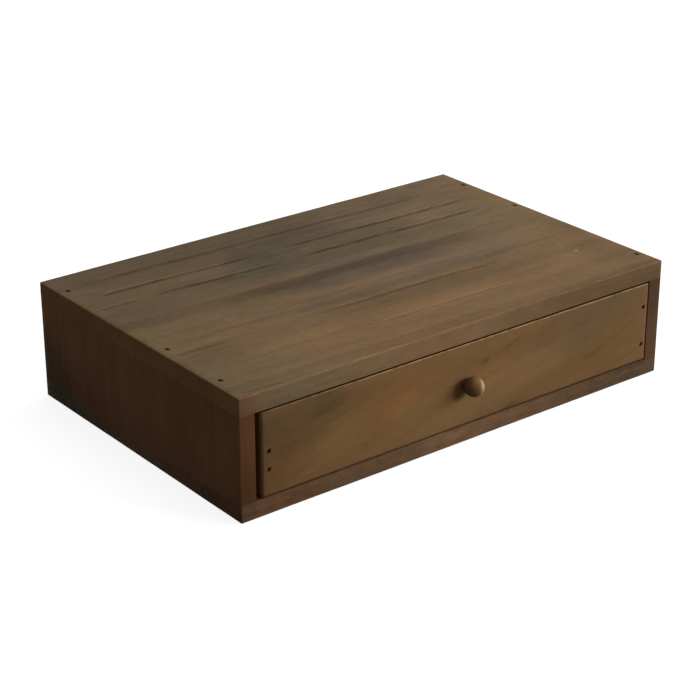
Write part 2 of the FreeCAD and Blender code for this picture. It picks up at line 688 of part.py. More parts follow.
def check_document():
    """Stop if an object failed or a sub-part's shape is missing or broken."""
    for thing in doc.Objects:
        if "Invalid" in thing.State or "Error" in thing.State:
            raise RuntimeError(f"{thing.Label} is {thing.State}")
    for body in pieces:
        if body.Shape.isNull() or not body.Shape.isValid() or not body.Shape.Solids:
            raise RuntimeError(f"{body.Label} has no sound shape")


def write_steps():
    """Write each sub-part to a file named after it."""
    os.makedirs("parts", exist_ok=True)
    for body in pieces:
        body.Shape.exportStep(f"parts/{body.Label}.step")
        solids = len(body.Shape.Solids)
        print(f"{body.Label}: {solids} solid(s), {body.Shape.Volume:.1f} mm3")


fill_sheet()
build_top_and_bottom()
build_case_sides()
build_back_panel()
build_case_nails()
build_drawer_front()
build_drawer_sides()
build_drawer_back()
build_drawer_bottom()
build_drawer_nails()
build_knob()
build_knob_screw()
doc.recompute()
check_document()
write_steps()
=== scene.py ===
"""Desk chest: worn boards, turned knob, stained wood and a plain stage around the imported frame."""

import contextlib
import math
from typing import NamedTuple

import bmesh
import bpy
from bpy.props import FloatProperty, FloatVectorProperty, PointerProperty
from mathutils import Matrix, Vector, noise


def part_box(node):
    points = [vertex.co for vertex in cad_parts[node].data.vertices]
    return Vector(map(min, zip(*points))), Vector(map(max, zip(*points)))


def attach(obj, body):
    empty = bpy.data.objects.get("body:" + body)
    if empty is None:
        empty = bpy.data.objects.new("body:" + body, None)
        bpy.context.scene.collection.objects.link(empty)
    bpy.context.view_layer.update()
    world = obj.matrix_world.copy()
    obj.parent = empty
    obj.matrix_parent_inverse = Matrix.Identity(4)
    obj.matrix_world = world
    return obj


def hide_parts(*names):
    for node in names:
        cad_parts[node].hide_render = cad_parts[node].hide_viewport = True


bl_info = {
    "name": "Desk Chest",
    "version": (1, 0, 0),
    "blender": (4, 5, 0),
    "location": "3D View > Sidebar > Chest",
    "description": "Models and finishes a nailed wooden desk chest with one drawer",
    "category": "Object",
}

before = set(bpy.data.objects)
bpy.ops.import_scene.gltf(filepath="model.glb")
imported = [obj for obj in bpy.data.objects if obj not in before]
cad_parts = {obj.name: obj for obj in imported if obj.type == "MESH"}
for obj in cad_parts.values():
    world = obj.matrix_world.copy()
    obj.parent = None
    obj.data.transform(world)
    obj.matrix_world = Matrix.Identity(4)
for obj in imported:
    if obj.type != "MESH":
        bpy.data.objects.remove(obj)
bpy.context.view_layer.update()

MM = 0.001
AXES = "XYZ"
TOUCH = 1e-6

# Vertices of one CAD nail are closer than this to each other, and those of two aren't.
NAIL_SPACE = 4 * MM
# The hole over a nail: radius of its shaft, depth, depth of its mouth, and bareness of its rim.
HOLE_RADIUS = 1.05 * MM
HOLE_DEPTH = 1.25 * MM
MOUTH_DEPTH = 0.22 * MM
HOLE_WEAR = 0.12
# How bare an eased edge is where nothing rubs it more.
EDGE_WEAR = 0.12


# ---------------------------------------------------------------- settings

def length_setting(name, description, value):
    """Return a setting with a length."""
    return FloatProperty(name=name, description=description, default=value, unit="LENGTH")


class ChestWear(bpy.types.PropertyGroup):
    """How far hands, planes and years have changed the boards."""

    case_easing: length_setting("Case easing", "Radius of the case's outer edges", 1.0 * MM)
    front_easing: length_setting("Front easing", "Radius of the drawer front's edges", 0.8 * MM)
    joint_easing: length_setting("Joint easing", "Bevel of the edges that meet in a joint", 0.08 * MM)
    dent_depth: length_setting("Dent depth", "Deepest dent along a worn edge", 0.16 * MM)
    furrow_depth: length_setting("Furrow depth", "Deepest furrow between the year rings", 0.30 * MM)
    slice_length: length_setting("Slice length", "Spacing of the cuts across a board", 5.0 * MM)


def stain(name, description, value):
    """Return a setting with a linear colour."""
    return FloatVectorProperty(name=name, description=description, subtype="COLOR",
                               size=3, min=0.0, max=1.0, default=value)


class ChestStain(bpy.types.PropertyGroup):
    """Colours of the stained wood and the metal."""

    board_dark: stain("Board dark", "Dark grain of the top board", (0.085, 0.052, 0.026))
    board_light: stain("Board light", "Light grain of the top board", (0.235, 0.142, 0.070))
    base_dark: stain("Base dark", "Dark grain of the bottom board", (0.072, 0.039, 0.020))
    base_light: stain("Base light", "Light grain of the bottom board", (0.195, 0.113, 0.060))
    end_dark: stain("End dark", "Dark grain of the end boards", (0.044, 0.018, 0.006))
    end_light: stain("End light", "Light grain of the end boards", (0.128, 0.056, 0.022))
    front_dark: stain("Front dark", "Dark grain of the drawer front", (0.088, 0.046, 0.0165))
    front_light: stain("Front light", "Light grain of the drawer front", (0.224, 0.122, 0.050))
    knob_dark: stain("Knob dark", "Dark grain of the knob", (0.105, 0.052, 0.018))
    knob_light: stain("Knob light", "Light grain of the knob", (0.240, 0.140, 0.066))
    inner_dark: stain("Inner dark", "Dark grain of the drawer's box", (0.075, 0.042, 0.019))
    inner_light: stain("Inner light", "Light grain of the drawer's box", (0.200, 0.120, 0.060))
    worn_wood: stain("Worn wood", "Bare wood on rubbed edges", (0.300, 0.195, 0.105))
    # Painted highlight: pale bare wood on the knob's lit side.
    handled_wood: stain("Handled wood", "The knob where the thumb takes it", (0.47, 0.335, 0.21))
    nail_iron: stain("Nail iron", "Dark iron of nails and brads", (0.008, 0.004, 0.002))
    screw_zinc: stain("Screw zinc", "Plated steel of the knob's screw", (0.420, 0.400, 0.360))


class ChestStage(bpy.types.PropertyGroup):
    """Floor, lamps and camera."""

    floor_size: length_setting("Floor size", "Edge of the floor", 8.0)
    key_power: FloatProperty(name="Key power", description="Power of the soft lamp at the right",
                             default=56.0, unit="POWER")
    top_power: FloatProperty(name="Top power", description="Power of the soft lamp overhead",
                             default=11.0, unit="POWER")
    fill_level: FloatProperty(name="Fill level", description="Light from the room all round",
                              default=0.42, min=0.0)


# ---------------------------------------------------------------- grain

class Streak(NamedTuple):
    """A dark line along the grain, between two points of a board's face."""

    start: float
    first: float
    end: float
    last: float
    before: float
    behind: float
    darkness: float
    furrow: float = 0.0


class Wash(NamedTuple):
    """A soft patch of another tint: mostly uneven stain, and in some rows painted shade."""

    along: float
    across: float
    reach_along: float
    reach_across: float
    tint: tuple
    ragged: float = 1.0


# How the grain wanders from a straight line: height, length and start of each wave.
WAVES = [(0.4 * MM, 131 * MM, 0.4), (0.15 * MM, 53 * MM, 1.9)]


def wander(along):
    """Return how far the grain has wandered sideways at a place along it."""
    return sum(height * math.sin(math.tau * along / length + start)
               for height, length, start in WAVES)


# ---------------------------------------------------------------- modelling

def direction(azimuth, elevation):
    """Return the way to a viewer, a lamp or the knob's painted highlight at these angles."""
    flat = math.cos(elevation)
    return Vector((math.sin(azimuth) * flat, -math.cos(azimuth) * flat, math.sin(elevation)))


@contextlib.contextmanager
def editing(piece):
    """Open a piece in edit mode and hand over its mesh."""
    bpy.context.view_layer.objects.active = piece
    bpy.ops.object.mode_set(mode="EDIT")
    bpy.ops.mesh.select_all(action="DESELECT")
    yield bmesh.from_edit_mesh(piece.data)
    bpy.ops.object.mode_set(mode="OBJECT")


def add_block(name, low, high):
    """Add a rectangular block between two corners, with its place in its mesh."""
    bpy.ops.object.select_all(action="DESELECT")
    bpy.ops.mesh.primitive_cube_add(size=1, location=(low + high) / 2)
    block = bpy.context.object
    block.name = name
    block.data.name = name
    block.scale = high - low
    bpy.ops.object.transform_apply(location=True, rotation=True, scale=True)
    return block


def steps_between(low, high, step):
    """Return evenly spaced places between two ends, neither included."""
    count = max(1, round((high - low) / step))
    return [low + (high - low) * number / count for number in range(1, count)]


def slice_block(piece, axis, places, slope=0.0, along="X"):
    """Cut the mesh through at each place on an axis, the cuts sloping along another."""
    normal = Vector((0, 0, 0))
    normal[AXES.index(axis)] = 1
    normal[AXES.index(along)] -= slope
    with editing(piece):
        for place in places:
            point = Vector((0, 0, 0))
            point[AXES.index(axis)] = place
            bpy.ops.mesh.select_all(action="SELECT")
            bpy.ops.mesh.bisect(plane_co=point, plane_no=normal)


def end_level(box, end):
    """Return the axis number of a box's named end, such as -X, and where the end is."""
    axis = AXES.index(end[1])
    return axis, box[1][axis] if end[0] == "+" else box[0][axis]


def gaps_to(point, box, ends):
    """Return how far a point is from each of the named ends of a box."""
    return [point[axis] - level for axis, level in (end_level(box, end) for end in ends)]


def all_edges():
    """Return the twelve edges of a block as pairs of its ends."""
    ends = ["-X", "+X", "-Y", "+Y", "-Z", "+Z"]
    return [
        (first, second)
        for number, first in enumerate(ends)
        for second in ends[number + 1:]
        if first[1] != second[1]
    ]


def edges_round(end):
    """Return the four edges of one end of a block and the four that run away from it."""
    return [
        pair for pair in all_edges()
        if end in pair or end[1] not in (pair[0][1], pair[1][1])
    ]


def ease_edges(piece, box, end_pairs, radius, segments):
    """Bevel the block's edges that lie on both ends of a pair."""
    with editing(piece) as mesh:
        bpy.ops.mesh.select_mode(type="EDGE")
        for edge in mesh.edges:
            edge.select = any(
                all(abs(gap) <= TOUCH for vertex in edge.verts
                    for gap in gaps_to(vertex.co, box, pair))
                for pair in end_pairs
            )
        bmesh.update_edit_mesh(piece.data)
        bpy.ops.mesh.bevel(offset=radius, segments=segments, profile=0.5, affect="EDGES")


def lump(point, scale, seed):
    """Return smooth noise between about -1 and 1 at a point."""
    return noise.noise(point * scale + Vector((seed, seed * 1.7, seed * 0.6)))


def within(low, value, high):
    """Return the value, kept between two limits."""
    return min(high, max(low, value))


def wear_edges(piece, box, rubbed_pairs, radius, depth, seed):
    """Dent the rounded edges unevenly and note how bare each point of them is."""
    mesh = piece.data
    worn = mesh.attributes.new("wear", "FLOAT", "POINT")
    for vertex in mesh.vertices:
        vertex.co = Vector(within(low, place, high) for place, low, high in zip(vertex.co, *box))
        distance, rub = min(
            (math.hypot(*gaps_to(vertex.co, box, pair)), rub)
            for pair, rub in rubbed_pairs.items()
        )
        if distance > radius * 0.8:
            continue
        long_dents = lump(vertex.co, 28.0, seed)
        short_dents = lump(vertex.co, 160.0, seed)
        rough = within(0.0, 0.45 + 0.6 * long_dents + 0.3 * short_dents, 1.0)
        vertex.co -= vertex.normal * depth * rough**2
        worn.data[vertex.index].value = min(1.0, rub * (0.45 + 0.75 * rough))


def flat_axes(axis):
    """Return the numbers of the two axes that a named axis is square to."""
    return [number for number in range(3) if number != AXES.index(axis)]


def nail_places(node, axis):
    """Return the middle of each nail in a CAD group, seen along its axis."""
    across, up = flat_axes(axis)
    groups = []
    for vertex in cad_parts[node].data.vertices:
        spot = (vertex.co[across], vertex.co[up])
        for group in groups:
            if math.dist(spot, group[0]) < NAIL_SPACE:
                group.append(spot)
                break
        else:
            groups.append([spot])
    return [
        tuple((min(places) + max(places)) / 2 for places in zip(*group)) for group in groups
    ]


def join_meshes(pieces, name):
    """Join several meshes into one object."""
    bpy.ops.object.select_all(action="DESELECT")
    for piece in pieces:
        piece.select_set(True)
    bpy.context.view_layer.objects.active = pieces[0]
    bpy.ops.object.join()
    joined = bpy.context.object
    joined.name = name
    return joined


def add_punch(surface, outward, mouth, shaft, mouth_depth, depth):
    """Add a cutter shaped like the hole that a nail punch leaves.

    The surface is the point where the hole starts and outward the way out of it. The
    cutter stands out of the surface by the depth of the mouth.
    """
    bpy.ops.object.select_all(action="DESELECT")
    spread = 2 * mouth - shaft
    turn = outward.to_track_quat("Z", "Y").to_euler()
    bpy.ops.mesh.primitive_circle_add(vertices=20, radius=spread, fill_type="NGON",
                                      location=surface + outward * mouth_depth, rotation=turn)
    punch = bpy.context.object
    bpy.ops.object.transform_apply(location=True, rotation=True, scale=True)
    with editing(punch):
        bpy.ops.mesh.select_all(action="SELECT")
        bpy.ops.mesh.extrude_region_move(
            TRANSFORM_OT_translate={"value": -outward * 2 * mouth_depth})
        middle = surface - outward * mouth_depth
        ratio = shaft / spread
        bpy.ops.transform.resize(value=(ratio, ratio, ratio), center_override=middle)
        bpy.ops.mesh.extrude_region_move(
            TRANSFORM_OT_translate={"value": -outward * (depth - mouth_depth)})
        bpy.ops.mesh.select_all(action="SELECT")
        bpy.ops.mesh.normals_make_consistent(inside=False)
    return punch


def cut_away(piece, cutter):
    """Take the cutter's shape out of a piece and throw the cutter away."""
    bpy.context.view_layer.objects.active = piece
    cut = piece.modifiers.new("cut", "BOOLEAN")
    cut.operation = "DIFFERENCE"
    cut.solver = "EXACT"
    cut.object = cutter
    bpy.ops.object.modifier_apply(modifier=cut.name)
    bpy.data.objects.remove(cutter)


def punch_nail_holes(piece, box, end, groups, seed, radius=HOLE_RADIUS):
    """Cut a torn-edged hole in one end of a box over each nail of the CAD groups."""
    level_axis, surface = end_level(box, end)
    outward = Vector((0, 0, 0))
    outward[level_axis] = 1 if end[0] == "+" else -1
    across, up = flat_axes(end[1])
    punches = []
    spots = []
    for group in groups:
        for place in nail_places(group, end[1]):
            spot = Vector((0, 0, 0))
            spot[across], spot[up] = place
            spot[level_axis] = surface
            spots.append(spot)
            mouth = radius * (1.28 + 0.12 * lump(spot, 300.0, seed))
            punches.append(add_punch(spot, outward, mouth, radius, MOUTH_DEPTH, HOLE_DEPTH))
    cut_away(piece, join_meshes(punches, f"{piece.name}_punches"))
    worn = piece.data.attributes["wear"]
    for vertex in piece.data.vertices:
        for spot in spots:
            away = vertex.co - spot
            level = away.dot(outward)
            if (away - outward * level).length < radius * 1.1 and level > -0.3 * MM:
                worn.data[vertex.index].value = HOLE_WEAR


def smooth(piece, angle):
    """Shade round what is gently curved and keep sharp what isn't."""
    bpy.ops.object.select_all(action="DESELECT")
    piece.select_set(True)
    bpy.context.view_layer.objects.active = piece
    bpy.ops.object.shade_smooth_by_angle(angle=math.radians(angle))


def stand_for(piece, node, body, material, angle=35):
    """Smooth a piece, give it its material and body, and let it take its CAD node's place."""
    smooth(piece, angle)
    piece.data.materials.clear()
    piece.data.materials.append(material)
    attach(piece, body)
    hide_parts(node)


def finish(node, material):
    """Put one material on every slot of a CAD node."""
    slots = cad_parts[node].material_slots
    for slot in slots:
        slot.material = material


def model_board(node, length_axis, width_axis, eased, rubbed, radius, seed, streaks=()):
    """Model a board in the place of a CAD node, with eased, dented and sliced edges.

    The eased edges are rounded and worn, and the others only take a small bevel. The
    rubbed ones have their own bareness. The radius is that of the easing.
    """
    wear = bpy.context.scene.chest_wear
    low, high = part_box(node)
    piece = add_block(f"{node}_wood", low, high)
    box = (low, high)
    length = AXES.index(length_axis)
    width = AXES.index(width_axis)
    slice_block(piece, length_axis, steps_between(low[length], high[length], wear.slice_length))
    slice_block(piece, width_axis, steps_between(low[width], high[width], 2 * wear.slice_length))
    if streaks:
        sink_furrows(piece, box, streaks)
    joints = [pair for pair in all_edges() if pair not in eased]
    ease_edges(piece, box, eased, radius, 4)
    ease_edges(piece, box, joints, wear.joint_easing, 1)
    wear_edges(piece, box, {pair: rubbed.get(pair, EDGE_WEAR) for pair in eased}, radius,
               wear.dent_depth, seed)
    return piece, box


def sink_furrows(piece, box, streaks):
    """Sink the shallow furrows that soft spring wood leaves along the streaks of the top face."""
    wear = bpy.context.scene.chest_wear
    low, high = box
    furrows = [streak for streak in streaks if streak.furrow > 0]
    for streak in furrows:
        slope = (streak.last - streak.first) / (streak.end - streak.start)
        level = streak.first - slope * streak.start
        for shift in (streak.behind, 0.0, -streak.before / 2, -streak.before):
            slice_block(piece, "Y", [level + shift], slope)
    with editing(piece) as mesh:
        for vertex in mesh.verts:
            along, across, height = vertex.co
            if abs(height - high.z) > TOUCH or min(along - low.x, high.x - along) < TOUCH:
                continue
            depth = 0.0
            for number, streak in enumerate(furrows):
                share = (along - streak.start) / (streak.end - streak.start)
                off = across - (streak.first + share * (streak.last - streak.first))
                if off > streak.behind + TOUCH or off < -streak.before - TOUCH:
                    continue
                reach = 1 - off / streak.behind if off > 0 else 1 + off / streak.before
                fade = within(0.0, (0.5 - abs(share - 0.5)) * 6, 1.0)
                patchy = within(0.2, 0.7 + lump(Vector((along, 0, 0)), 22.0, number), 1.0)
                depth = max(depth, reach * fade * patchy * streak.furrow * wear.furrow_depth)
            vertex.co.z -= depth
            if min(across - low.y, high.y - across) > 2 * MM:
                vertex.co.y += wander(along)
        bmesh.update_edit_mesh(piece.data)


# ---------------------------------------------------------------- materials

class Recipe:
    """Builds the nodes of a material or a world."""

    def __init__(self, owner):
        self.owner = owner
        owner.use_nodes = True
        self.tree = owner.node_tree
        self.tree.nodes.clear()

    def add(self, kind, inputs=None, **settings):
        """Add a node, set its properties and fill or link its inputs by name or number."""
        node = self.tree.nodes.new(f"ShaderNode{kind}")
        for name, value in settings.items():
            setattr(node, name, value)
        for key, value in (inputs or {}).items():
            if isinstance(value, bpy.types.NodeSocket):
                self.tree.links.new(value, node.inputs[key])
            else:
                node.inputs[key].default_value = value
        return node

    def math(self, operation, first, second=0.0, clamp=False):
        """Combine two numbers."""
        return self.add("Math", {0: first, 1: second}, operation=operation,
                        use_clamp=clamp).outputs[0]

    def plus(self, first, second):
        """Add two numbers."""
        return self.math("ADD", first, second)

    def minus(self, first, second):
        """Take the second number from the first."""
        return self.math("SUBTRACT", first, second)

    def times(self, first, second, clamp=False):
        """Multiply two numbers."""
        return self.math("MULTIPLY", first, second, clamp)

    def squares(self, first, second):
        """Add the squares of two numbers."""
        return self.plus(self.times(first, first), self.times(second, second))

    def swing(self, pattern, share):
        """Centre a pattern on zero and scale it."""
        return self.times(self.minus(pattern, 0.5), share)

    def fit(self, value, low, high, new_low=0.0, new_high=1.0):
        """Map a range of numbers smoothly to another."""
        inputs = {"Value": value, "From Min": low, "From Max": high,
                  "To Min": new_low, "To Max": new_high}
        return self.add("MapRange", inputs, interpolation_type="SMOOTHSTEP").outputs[0]

    def noise(self, vector, factors, seed, detail, roughness=0.5):
        """Return noise with its own scale along each axis."""
        moved = self.add("VectorMath", {0: vector, 1: factors, 2: (seed, seed * 1.3, seed * 2.1)},
                         operation="MULTIPLY_ADD").outputs[0]
        inputs = {"Vector": moved, "Scale": 1.0, "Detail": detail, "Roughness": roughness}
        return self.add("TexNoise", inputs).outputs["Fac"]

    def mix(self, factor, first, second, mode="MIX"):
        """Mix two colours."""
        first, second = (
            value if isinstance(value, bpy.types.NodeSocket) else (*value, 1.0)
            for value in (first, second)
        )
        return self.add("Mix", {0: factor, 6: first, 7: second}, data_type="RGBA",
                        blend_type=mode).outputs[2]

    def tint(self, factor, base, tint):
        """Multiply a colour by a tint, as far as the factor says."""
        return self.mix(factor, base, self.mix(1.0, base, tint, "MULTIPLY"))

    def ramp(self, value, stops):
        """Turn a number into a level through a list of places and levels."""
        node = self.add("ValToRGB", {0: value})
        elements = node.color_ramp.elements
        while len(elements) < len(stops):
            elements.new(0.5)
        for element, (place, level) in zip(elements, stops):
            element.position = place
            element.color = (level, level, level, 1.0)
        return node.outputs[0]

    def surface(self, base, rough, gloss, **others):
        """Finish a material with its surface, and return it."""
        inputs = {"Base Color": base, "Roughness": rough, "Specular IOR Level": gloss, **others}
        shader = self.add("BsdfPrincipled", inputs)
        self.add("OutputMaterial", {0: shader.outputs[0]})
        return self.owner


def grain_place(recipe, order, slope):
    """Return a board's coordinates along, across and into the grain, made straight."""
    place = recipe.add("TexCoord").outputs["Object"]
    parts = recipe.add("SeparateXYZ", {0: place}).outputs
    along, across, depth = (parts[AXES.index(axis)] for axis in order)
    across = recipe.minus(across, recipe.times(along, slope))
    for height, length, start in WAVES:
        turn = recipe.plus(recipe.times(along, math.tau / length), start)
        across = recipe.minus(across, recipe.times(recipe.math("SINE", turn), height))
    return along, across, depth


# A streak's dark tint, the painted highlight's tint behind a furrow, the share of its length
# that it fades in and out over, and the width from which it is a shade and not a broken line.
STREAK_TINT = (0.42, 0.34, 0.26)
LIGHT_TINT = (1.24, 1.22, 1.19)
STREAK_FADE = 0.16
SHADE_WIDTH = 10 * MM


def streak_over(recipe, base, along, across, streak, slope, rough_edge, broken):
    """Darken a streak, and paint a highlight on the rear edge of a furrow."""
    fall = (streak.last - streak.first) / (streak.end - streak.start) - slope
    level = streak.first - fall * streak.start - slope * streak.start
    middle = recipe.plus(recipe.times(along, fall), level)
    off = recipe.plus(recipe.minus(across, middle), rough_edge)
    fade = STREAK_FADE * (streak.end - streak.start)
    ends = recipe.times(recipe.fit(along, streak.start, streak.start + fade),
                        recipe.fit(along, streak.end - fade, streak.end, 1.0, 0.0))
    if streak.before < SHADE_WIDTH:
        ends = recipe.times(ends, broken, clamp=True)
    dark = recipe.math("MINIMUM", recipe.fit(off, -streak.before, -0.35 * streak.before),
                       recipe.fit(off, 0.0, streak.behind, 1.0, 0.0))
    dark = recipe.times(recipe.times(dark, ends), streak.darkness)
    base = recipe.tint(dark, base, STREAK_TINT)
    if streak.furrow < 0.5:
        return base
    near, far = 0.7 * streak.behind, 2.4 * streak.behind
    light = recipe.math("MINIMUM", recipe.fit(off, near, 1.3 * near),
                        recipe.fit(off, 0.6 * far, far, 1.0, 0.0))
    light = recipe.times(recipe.times(light, ends), streak.furrow)
    return recipe.tint(light, base, LIGHT_TINT)


def wash_over(recipe, base, along, across, wash, slope, cloud):
    """Tint a soft patch with a cloudy edge. Most patches are uneven stain; some are painted shade."""
    middle = wash.across - slope * wash.along - wander(wash.along)
    off_along = recipe.times(recipe.minus(along, wash.along), 1 / wash.reach_along)
    off_across = recipe.times(recipe.minus(across, middle), 1 / wash.reach_across)
    away = recipe.plus(recipe.squares(off_along, off_across), recipe.times(cloud, wash.ragged))
    return recipe.tint(recipe.fit(away, 0.1, 1.1, 1.0, 0.0), base, wash.tint)


# The wood's patterns: waves per metre along and across the grain, seed, detail, roughness.
PATTERNS = {
    "uneven": (2.0, 60.0, 41, 1.0, 0.5),
    "fibre": (34.0, 1100.0, 3, 3.0, 0.6),
    "streaky": (4.0, 190.0, 7, 4.0, 0.6),
    "broad": (3.0, 34.0, 11, 3.0, 0.5),
    "cloud": (11.0, 22.0, 17, 3.0, 0.55),
    "pores": (110.0, 2400.0, 23, 1.0, 0.5),
    "mottle": (130.0, 360.0, 29, 3.0, 0.6),
    "broken": (42.0, 90.0, 31, 3.0, 0.5),
    "ragged": (150.0, 420.0, 37, 3.0, 0.5),
}
# How much late wood there is through a year ring, as places and levels.
RING = [(0.0, 0.9), (0.12, 0.2), (0.55, 0.0), (0.9, 0.45), (1.0, 0.9)]
# How far patterns, late wood and pores move the tone between the dark and the light colour.
TONE_SHARES = {"fibre": 0.3, "streaky": 0.3, "broad": 0.5}
CLOUD_SHARE = 0.55
LATE_SHARE = 0.07
PORE_SHARE = 0.12
STREAK_RAGGED = 2.6 * MM
# The tint of the painted shade in the drawer's gaps, on the knob's unlit side and along the bottom
# board's foot.
PAINTED_SHADE_TINT = (0.19, 0.12, 0.05)


def wood(title, order, colours, seed, slope=0.0, streaks=(), washes=(), ring_gap=0.011,
         heart=(0.0, -0.12), contrast=1.0, mottling=0.0, gloss=0.06, polish=0.75,
         end_tint=(0.63, 0.50, 0.43), end_washes=(), bare="worn_wood", bare_levels=(0.35, 1.15)):
    """Make stained wood whose grain runs along the first axis of the order.

    The second axis is across the board's face and the third goes into it. Colours is
    the first word of the names of the two colour settings. The heart is the middle of
    the tree's rings, across and into the board. Bare is the setting of the worn
    wood's colour, which on the knob is a painted highlight, and its levels say how
    evenly the mottle lets it show.
    """
    stains = bpy.context.scene.chest_stain
    dark, light, worn_wood = (
        tuple(getattr(stains, name)) for name in (f"{colours}_dark", f"{colours}_light", bare)
    )
    recipe = Recipe(bpy.data.materials.new(title))
    along, across, depth = grain_place(recipe, order, slope)
    place = recipe.add("CombineXYZ", {0: along, 1: across, 2: depth}).outputs[0]
    noises = {
        key: recipe.noise(place, (lengthwise, crosswise, crosswise), seed + start, detail, rough)
        for key, (lengthwise, crosswise, start, detail, rough) in PATTERNS.items()
    }

    radius = recipe.math("SQRT", recipe.squares(recipe.minus(across, heart[0]),
                                                recipe.minus(depth, heart[1])))
    rings = recipe.plus(recipe.times(radius, 1.0 / ring_gap),
                        recipe.times(noises["uneven"], 2.4))
    late = recipe.ramp(recipe.math("FRACT", rings), RING)
    pore = recipe.fit(noises["pores"], 0.60, 0.74)

    shares = {key: share * contrast for key, share in TONE_SHARES.items()}
    shares.update(cloud=CLOUD_SHARE, mottle=mottling)
    tone = 0.5
    for key, share in shares.items():
        tone = recipe.plus(tone, recipe.swing(noises[key], share))
    tone = recipe.minus(tone, recipe.times(late, LATE_SHARE * contrast))
    tone = recipe.minus(tone, recipe.times(pore, PORE_SHARE * contrast))

    stained = recipe.mix(recipe.math("MAXIMUM", tone, 0.0), dark, light)
    base = stained
    broken = recipe.fit(noises["broken"], 0.32, 0.62, 0.5, 1.2)
    rough_edge = recipe.swing(noises["ragged"], STREAK_RAGGED)
    for streak in streaks:
        base = streak_over(recipe, base, along, across, streak, slope, rough_edge, broken)
    cloud = recipe.plus(recipe.swing(noises["cloud"], 1.3), recipe.swing(noises["streaky"], 0.9))
    for wash in washes:
        base = wash_over(recipe, base, along, across, wash, slope, cloud)
    end = recipe.mix(1.0, stained, end_tint, "MULTIPLY")
    for wash in end_washes:
        end = wash_over(recipe, end, along, across, wash, slope, cloud)

    face = recipe.add("TexCoord").outputs["Normal"]
    end_axis = [float(axis == order[0]) for axis in AXES]
    facing = recipe.math("ABSOLUTE", recipe.add(
        "VectorMath", {0: face, 1: end_axis}, operation="DOT_PRODUCT").outputs["Value"])
    base = recipe.mix(recipe.fit(facing, 0.6, 0.95), base, end)
    # Bare wood where the wear attribute says: wear on the boards' edges, partly a painted highlight
    # on the drawer front's top edge, and a painted highlight on the knob.
    worn = recipe.add("Attribute", attribute_name="wear").outputs["Fac"]
    shown = recipe.times(worn, recipe.fit(noises["mottle"], 0.36, 0.58, *bare_levels), clamp=True)
    base = recipe.mix(shown, base, worn_wood)
    # Painted shade from a vertex attribute: in the drawer's gaps, on the knob's unlit side and along
    # the bottom board's foot.
    grime = recipe.add("Attribute", attribute_name="grime").outputs["Fac"]
    base = recipe.tint(grime, base, PAINTED_SHADE_TINT)

    height = recipe.minus(noises["fibre"], recipe.times(pore, 0.8))
    height = recipe.minus(height, recipe.times(late, 0.4))
    relief = recipe.add("Bump", {"Strength": 0.4, "Distance": 0.2 * MM, "Height": height})
    rough = recipe.fit(tone, 0.0, 1.0, polish + 0.07, polish - 0.07)
    return recipe.surface(base, rough, gloss, Normal=relief.outputs[0])


def metal(name, base_colour, roughness, shade, metallic=1.0, gloss=0.5):
    """Make worn metal with dull patches, as much darker or lighter as the shade says."""
    recipe = Recipe(bpy.data.materials.new(name))
    place = recipe.add("TexCoord").outputs["Object"]
    patches = recipe.noise(place, (900.0, 900.0, 900.0), 2.0, 3.0)
    base = recipe.mix(recipe.fit(patches, 0.35, 0.65), base_colour,
                      tuple(channel * shade for channel in base_colour))
    rough = recipe.fit(patches, 0.3, 0.7, roughness, roughness + 0.25)
    return recipe.surface(base, rough, gloss, Metallic=metallic)


# ---------------------------------------------------------------- pieces

def from_corner(rows, left, rear):
    """Turn rows of millimetres, counted from a face's left and rear edges, into streaks.

    A row has the start and end along the board, the distances from the rear edge
    there, the widths before and behind, the darkness and the share of furrow.
    """
    return [
        Streak(left + start * MM, rear - first * MM, left + end * MM, rear - last * MM,
               before * MM, behind * MM, darkness, furrow)
        for start, end, first, last, before, behind, darkness, furrow in rows
    ]


def from_rows(rows):
    """Turn rows of millimetres, in the chest's coordinates, into washes.

    A row has the place along and across the grain, how far the wash reaches each way,
    the tint's red, green and blue in percent and, where it isn't 1, how ragged the edge is.
    """
    return [
        Wash(*(number * MM for number in row[:4]), tuple(share / 100 for share in row[4:7]),
             *row[7:])
        for row in rows
    ]


TOP_ROWS = [
    (10, 312, 21.5, 26.0, 4.4, 1.8, 0.58, 0.4),
    (8, 140, 43.3, 47.8, 3.8, 1.4, 0.76, 1.0),
    (154, 322, 48.0, 50.8, 4.0, 1.5, 0.88, 1.0),
    (4, 34, 63.4, 64.2, 2.6, 1.3, 0.52, 0.6),
    (46, 142, 63.9, 67.3, 3.8, 1.4, 0.76, 0.9),
    (92, 111, 70.4, 72.4, 3.4, 2.0, 0.44, 0.3),
    (152, 318, 67.3, 71.0, 4.0, 1.5, 0.84, 1.0),
    (68, 290, 94.8, 98.8, 21.0, 1.3, 0.46, 0.4),
    (-40, 128, 92.5, 94.5, 15.0, 3.0, 0.20, 0.0),
    (14, 108, 135.8, 136.8, 3.0, 1.8, 0.20, 0.2),
    (250, 324, 142.4, 144.2, 2.2, 1.4, 0.20, 0.3),
    (4, 48, 149.4, 150.4, 3.2, 2.0, 0.30, 0.4),
    (104, 262, 150.4, 153.8, 3.6, 1.8, 0.42, 0.7),
    (124, 250, 184.2, 188.8, 2.8, 1.6, 0.26, 0.6),
    (216, 238, 108.4, 109.6, 2.4, 1.6, 0.26, 0.3),
    (284, 308, 97.0, 99.5, 2.2, 1.4, 0.26, 0.3),
    (2, 36, 213.6, 217.0, 2.6, 1.6, 0.32, 0.3),
]
TOP_SLOPE = -0.014
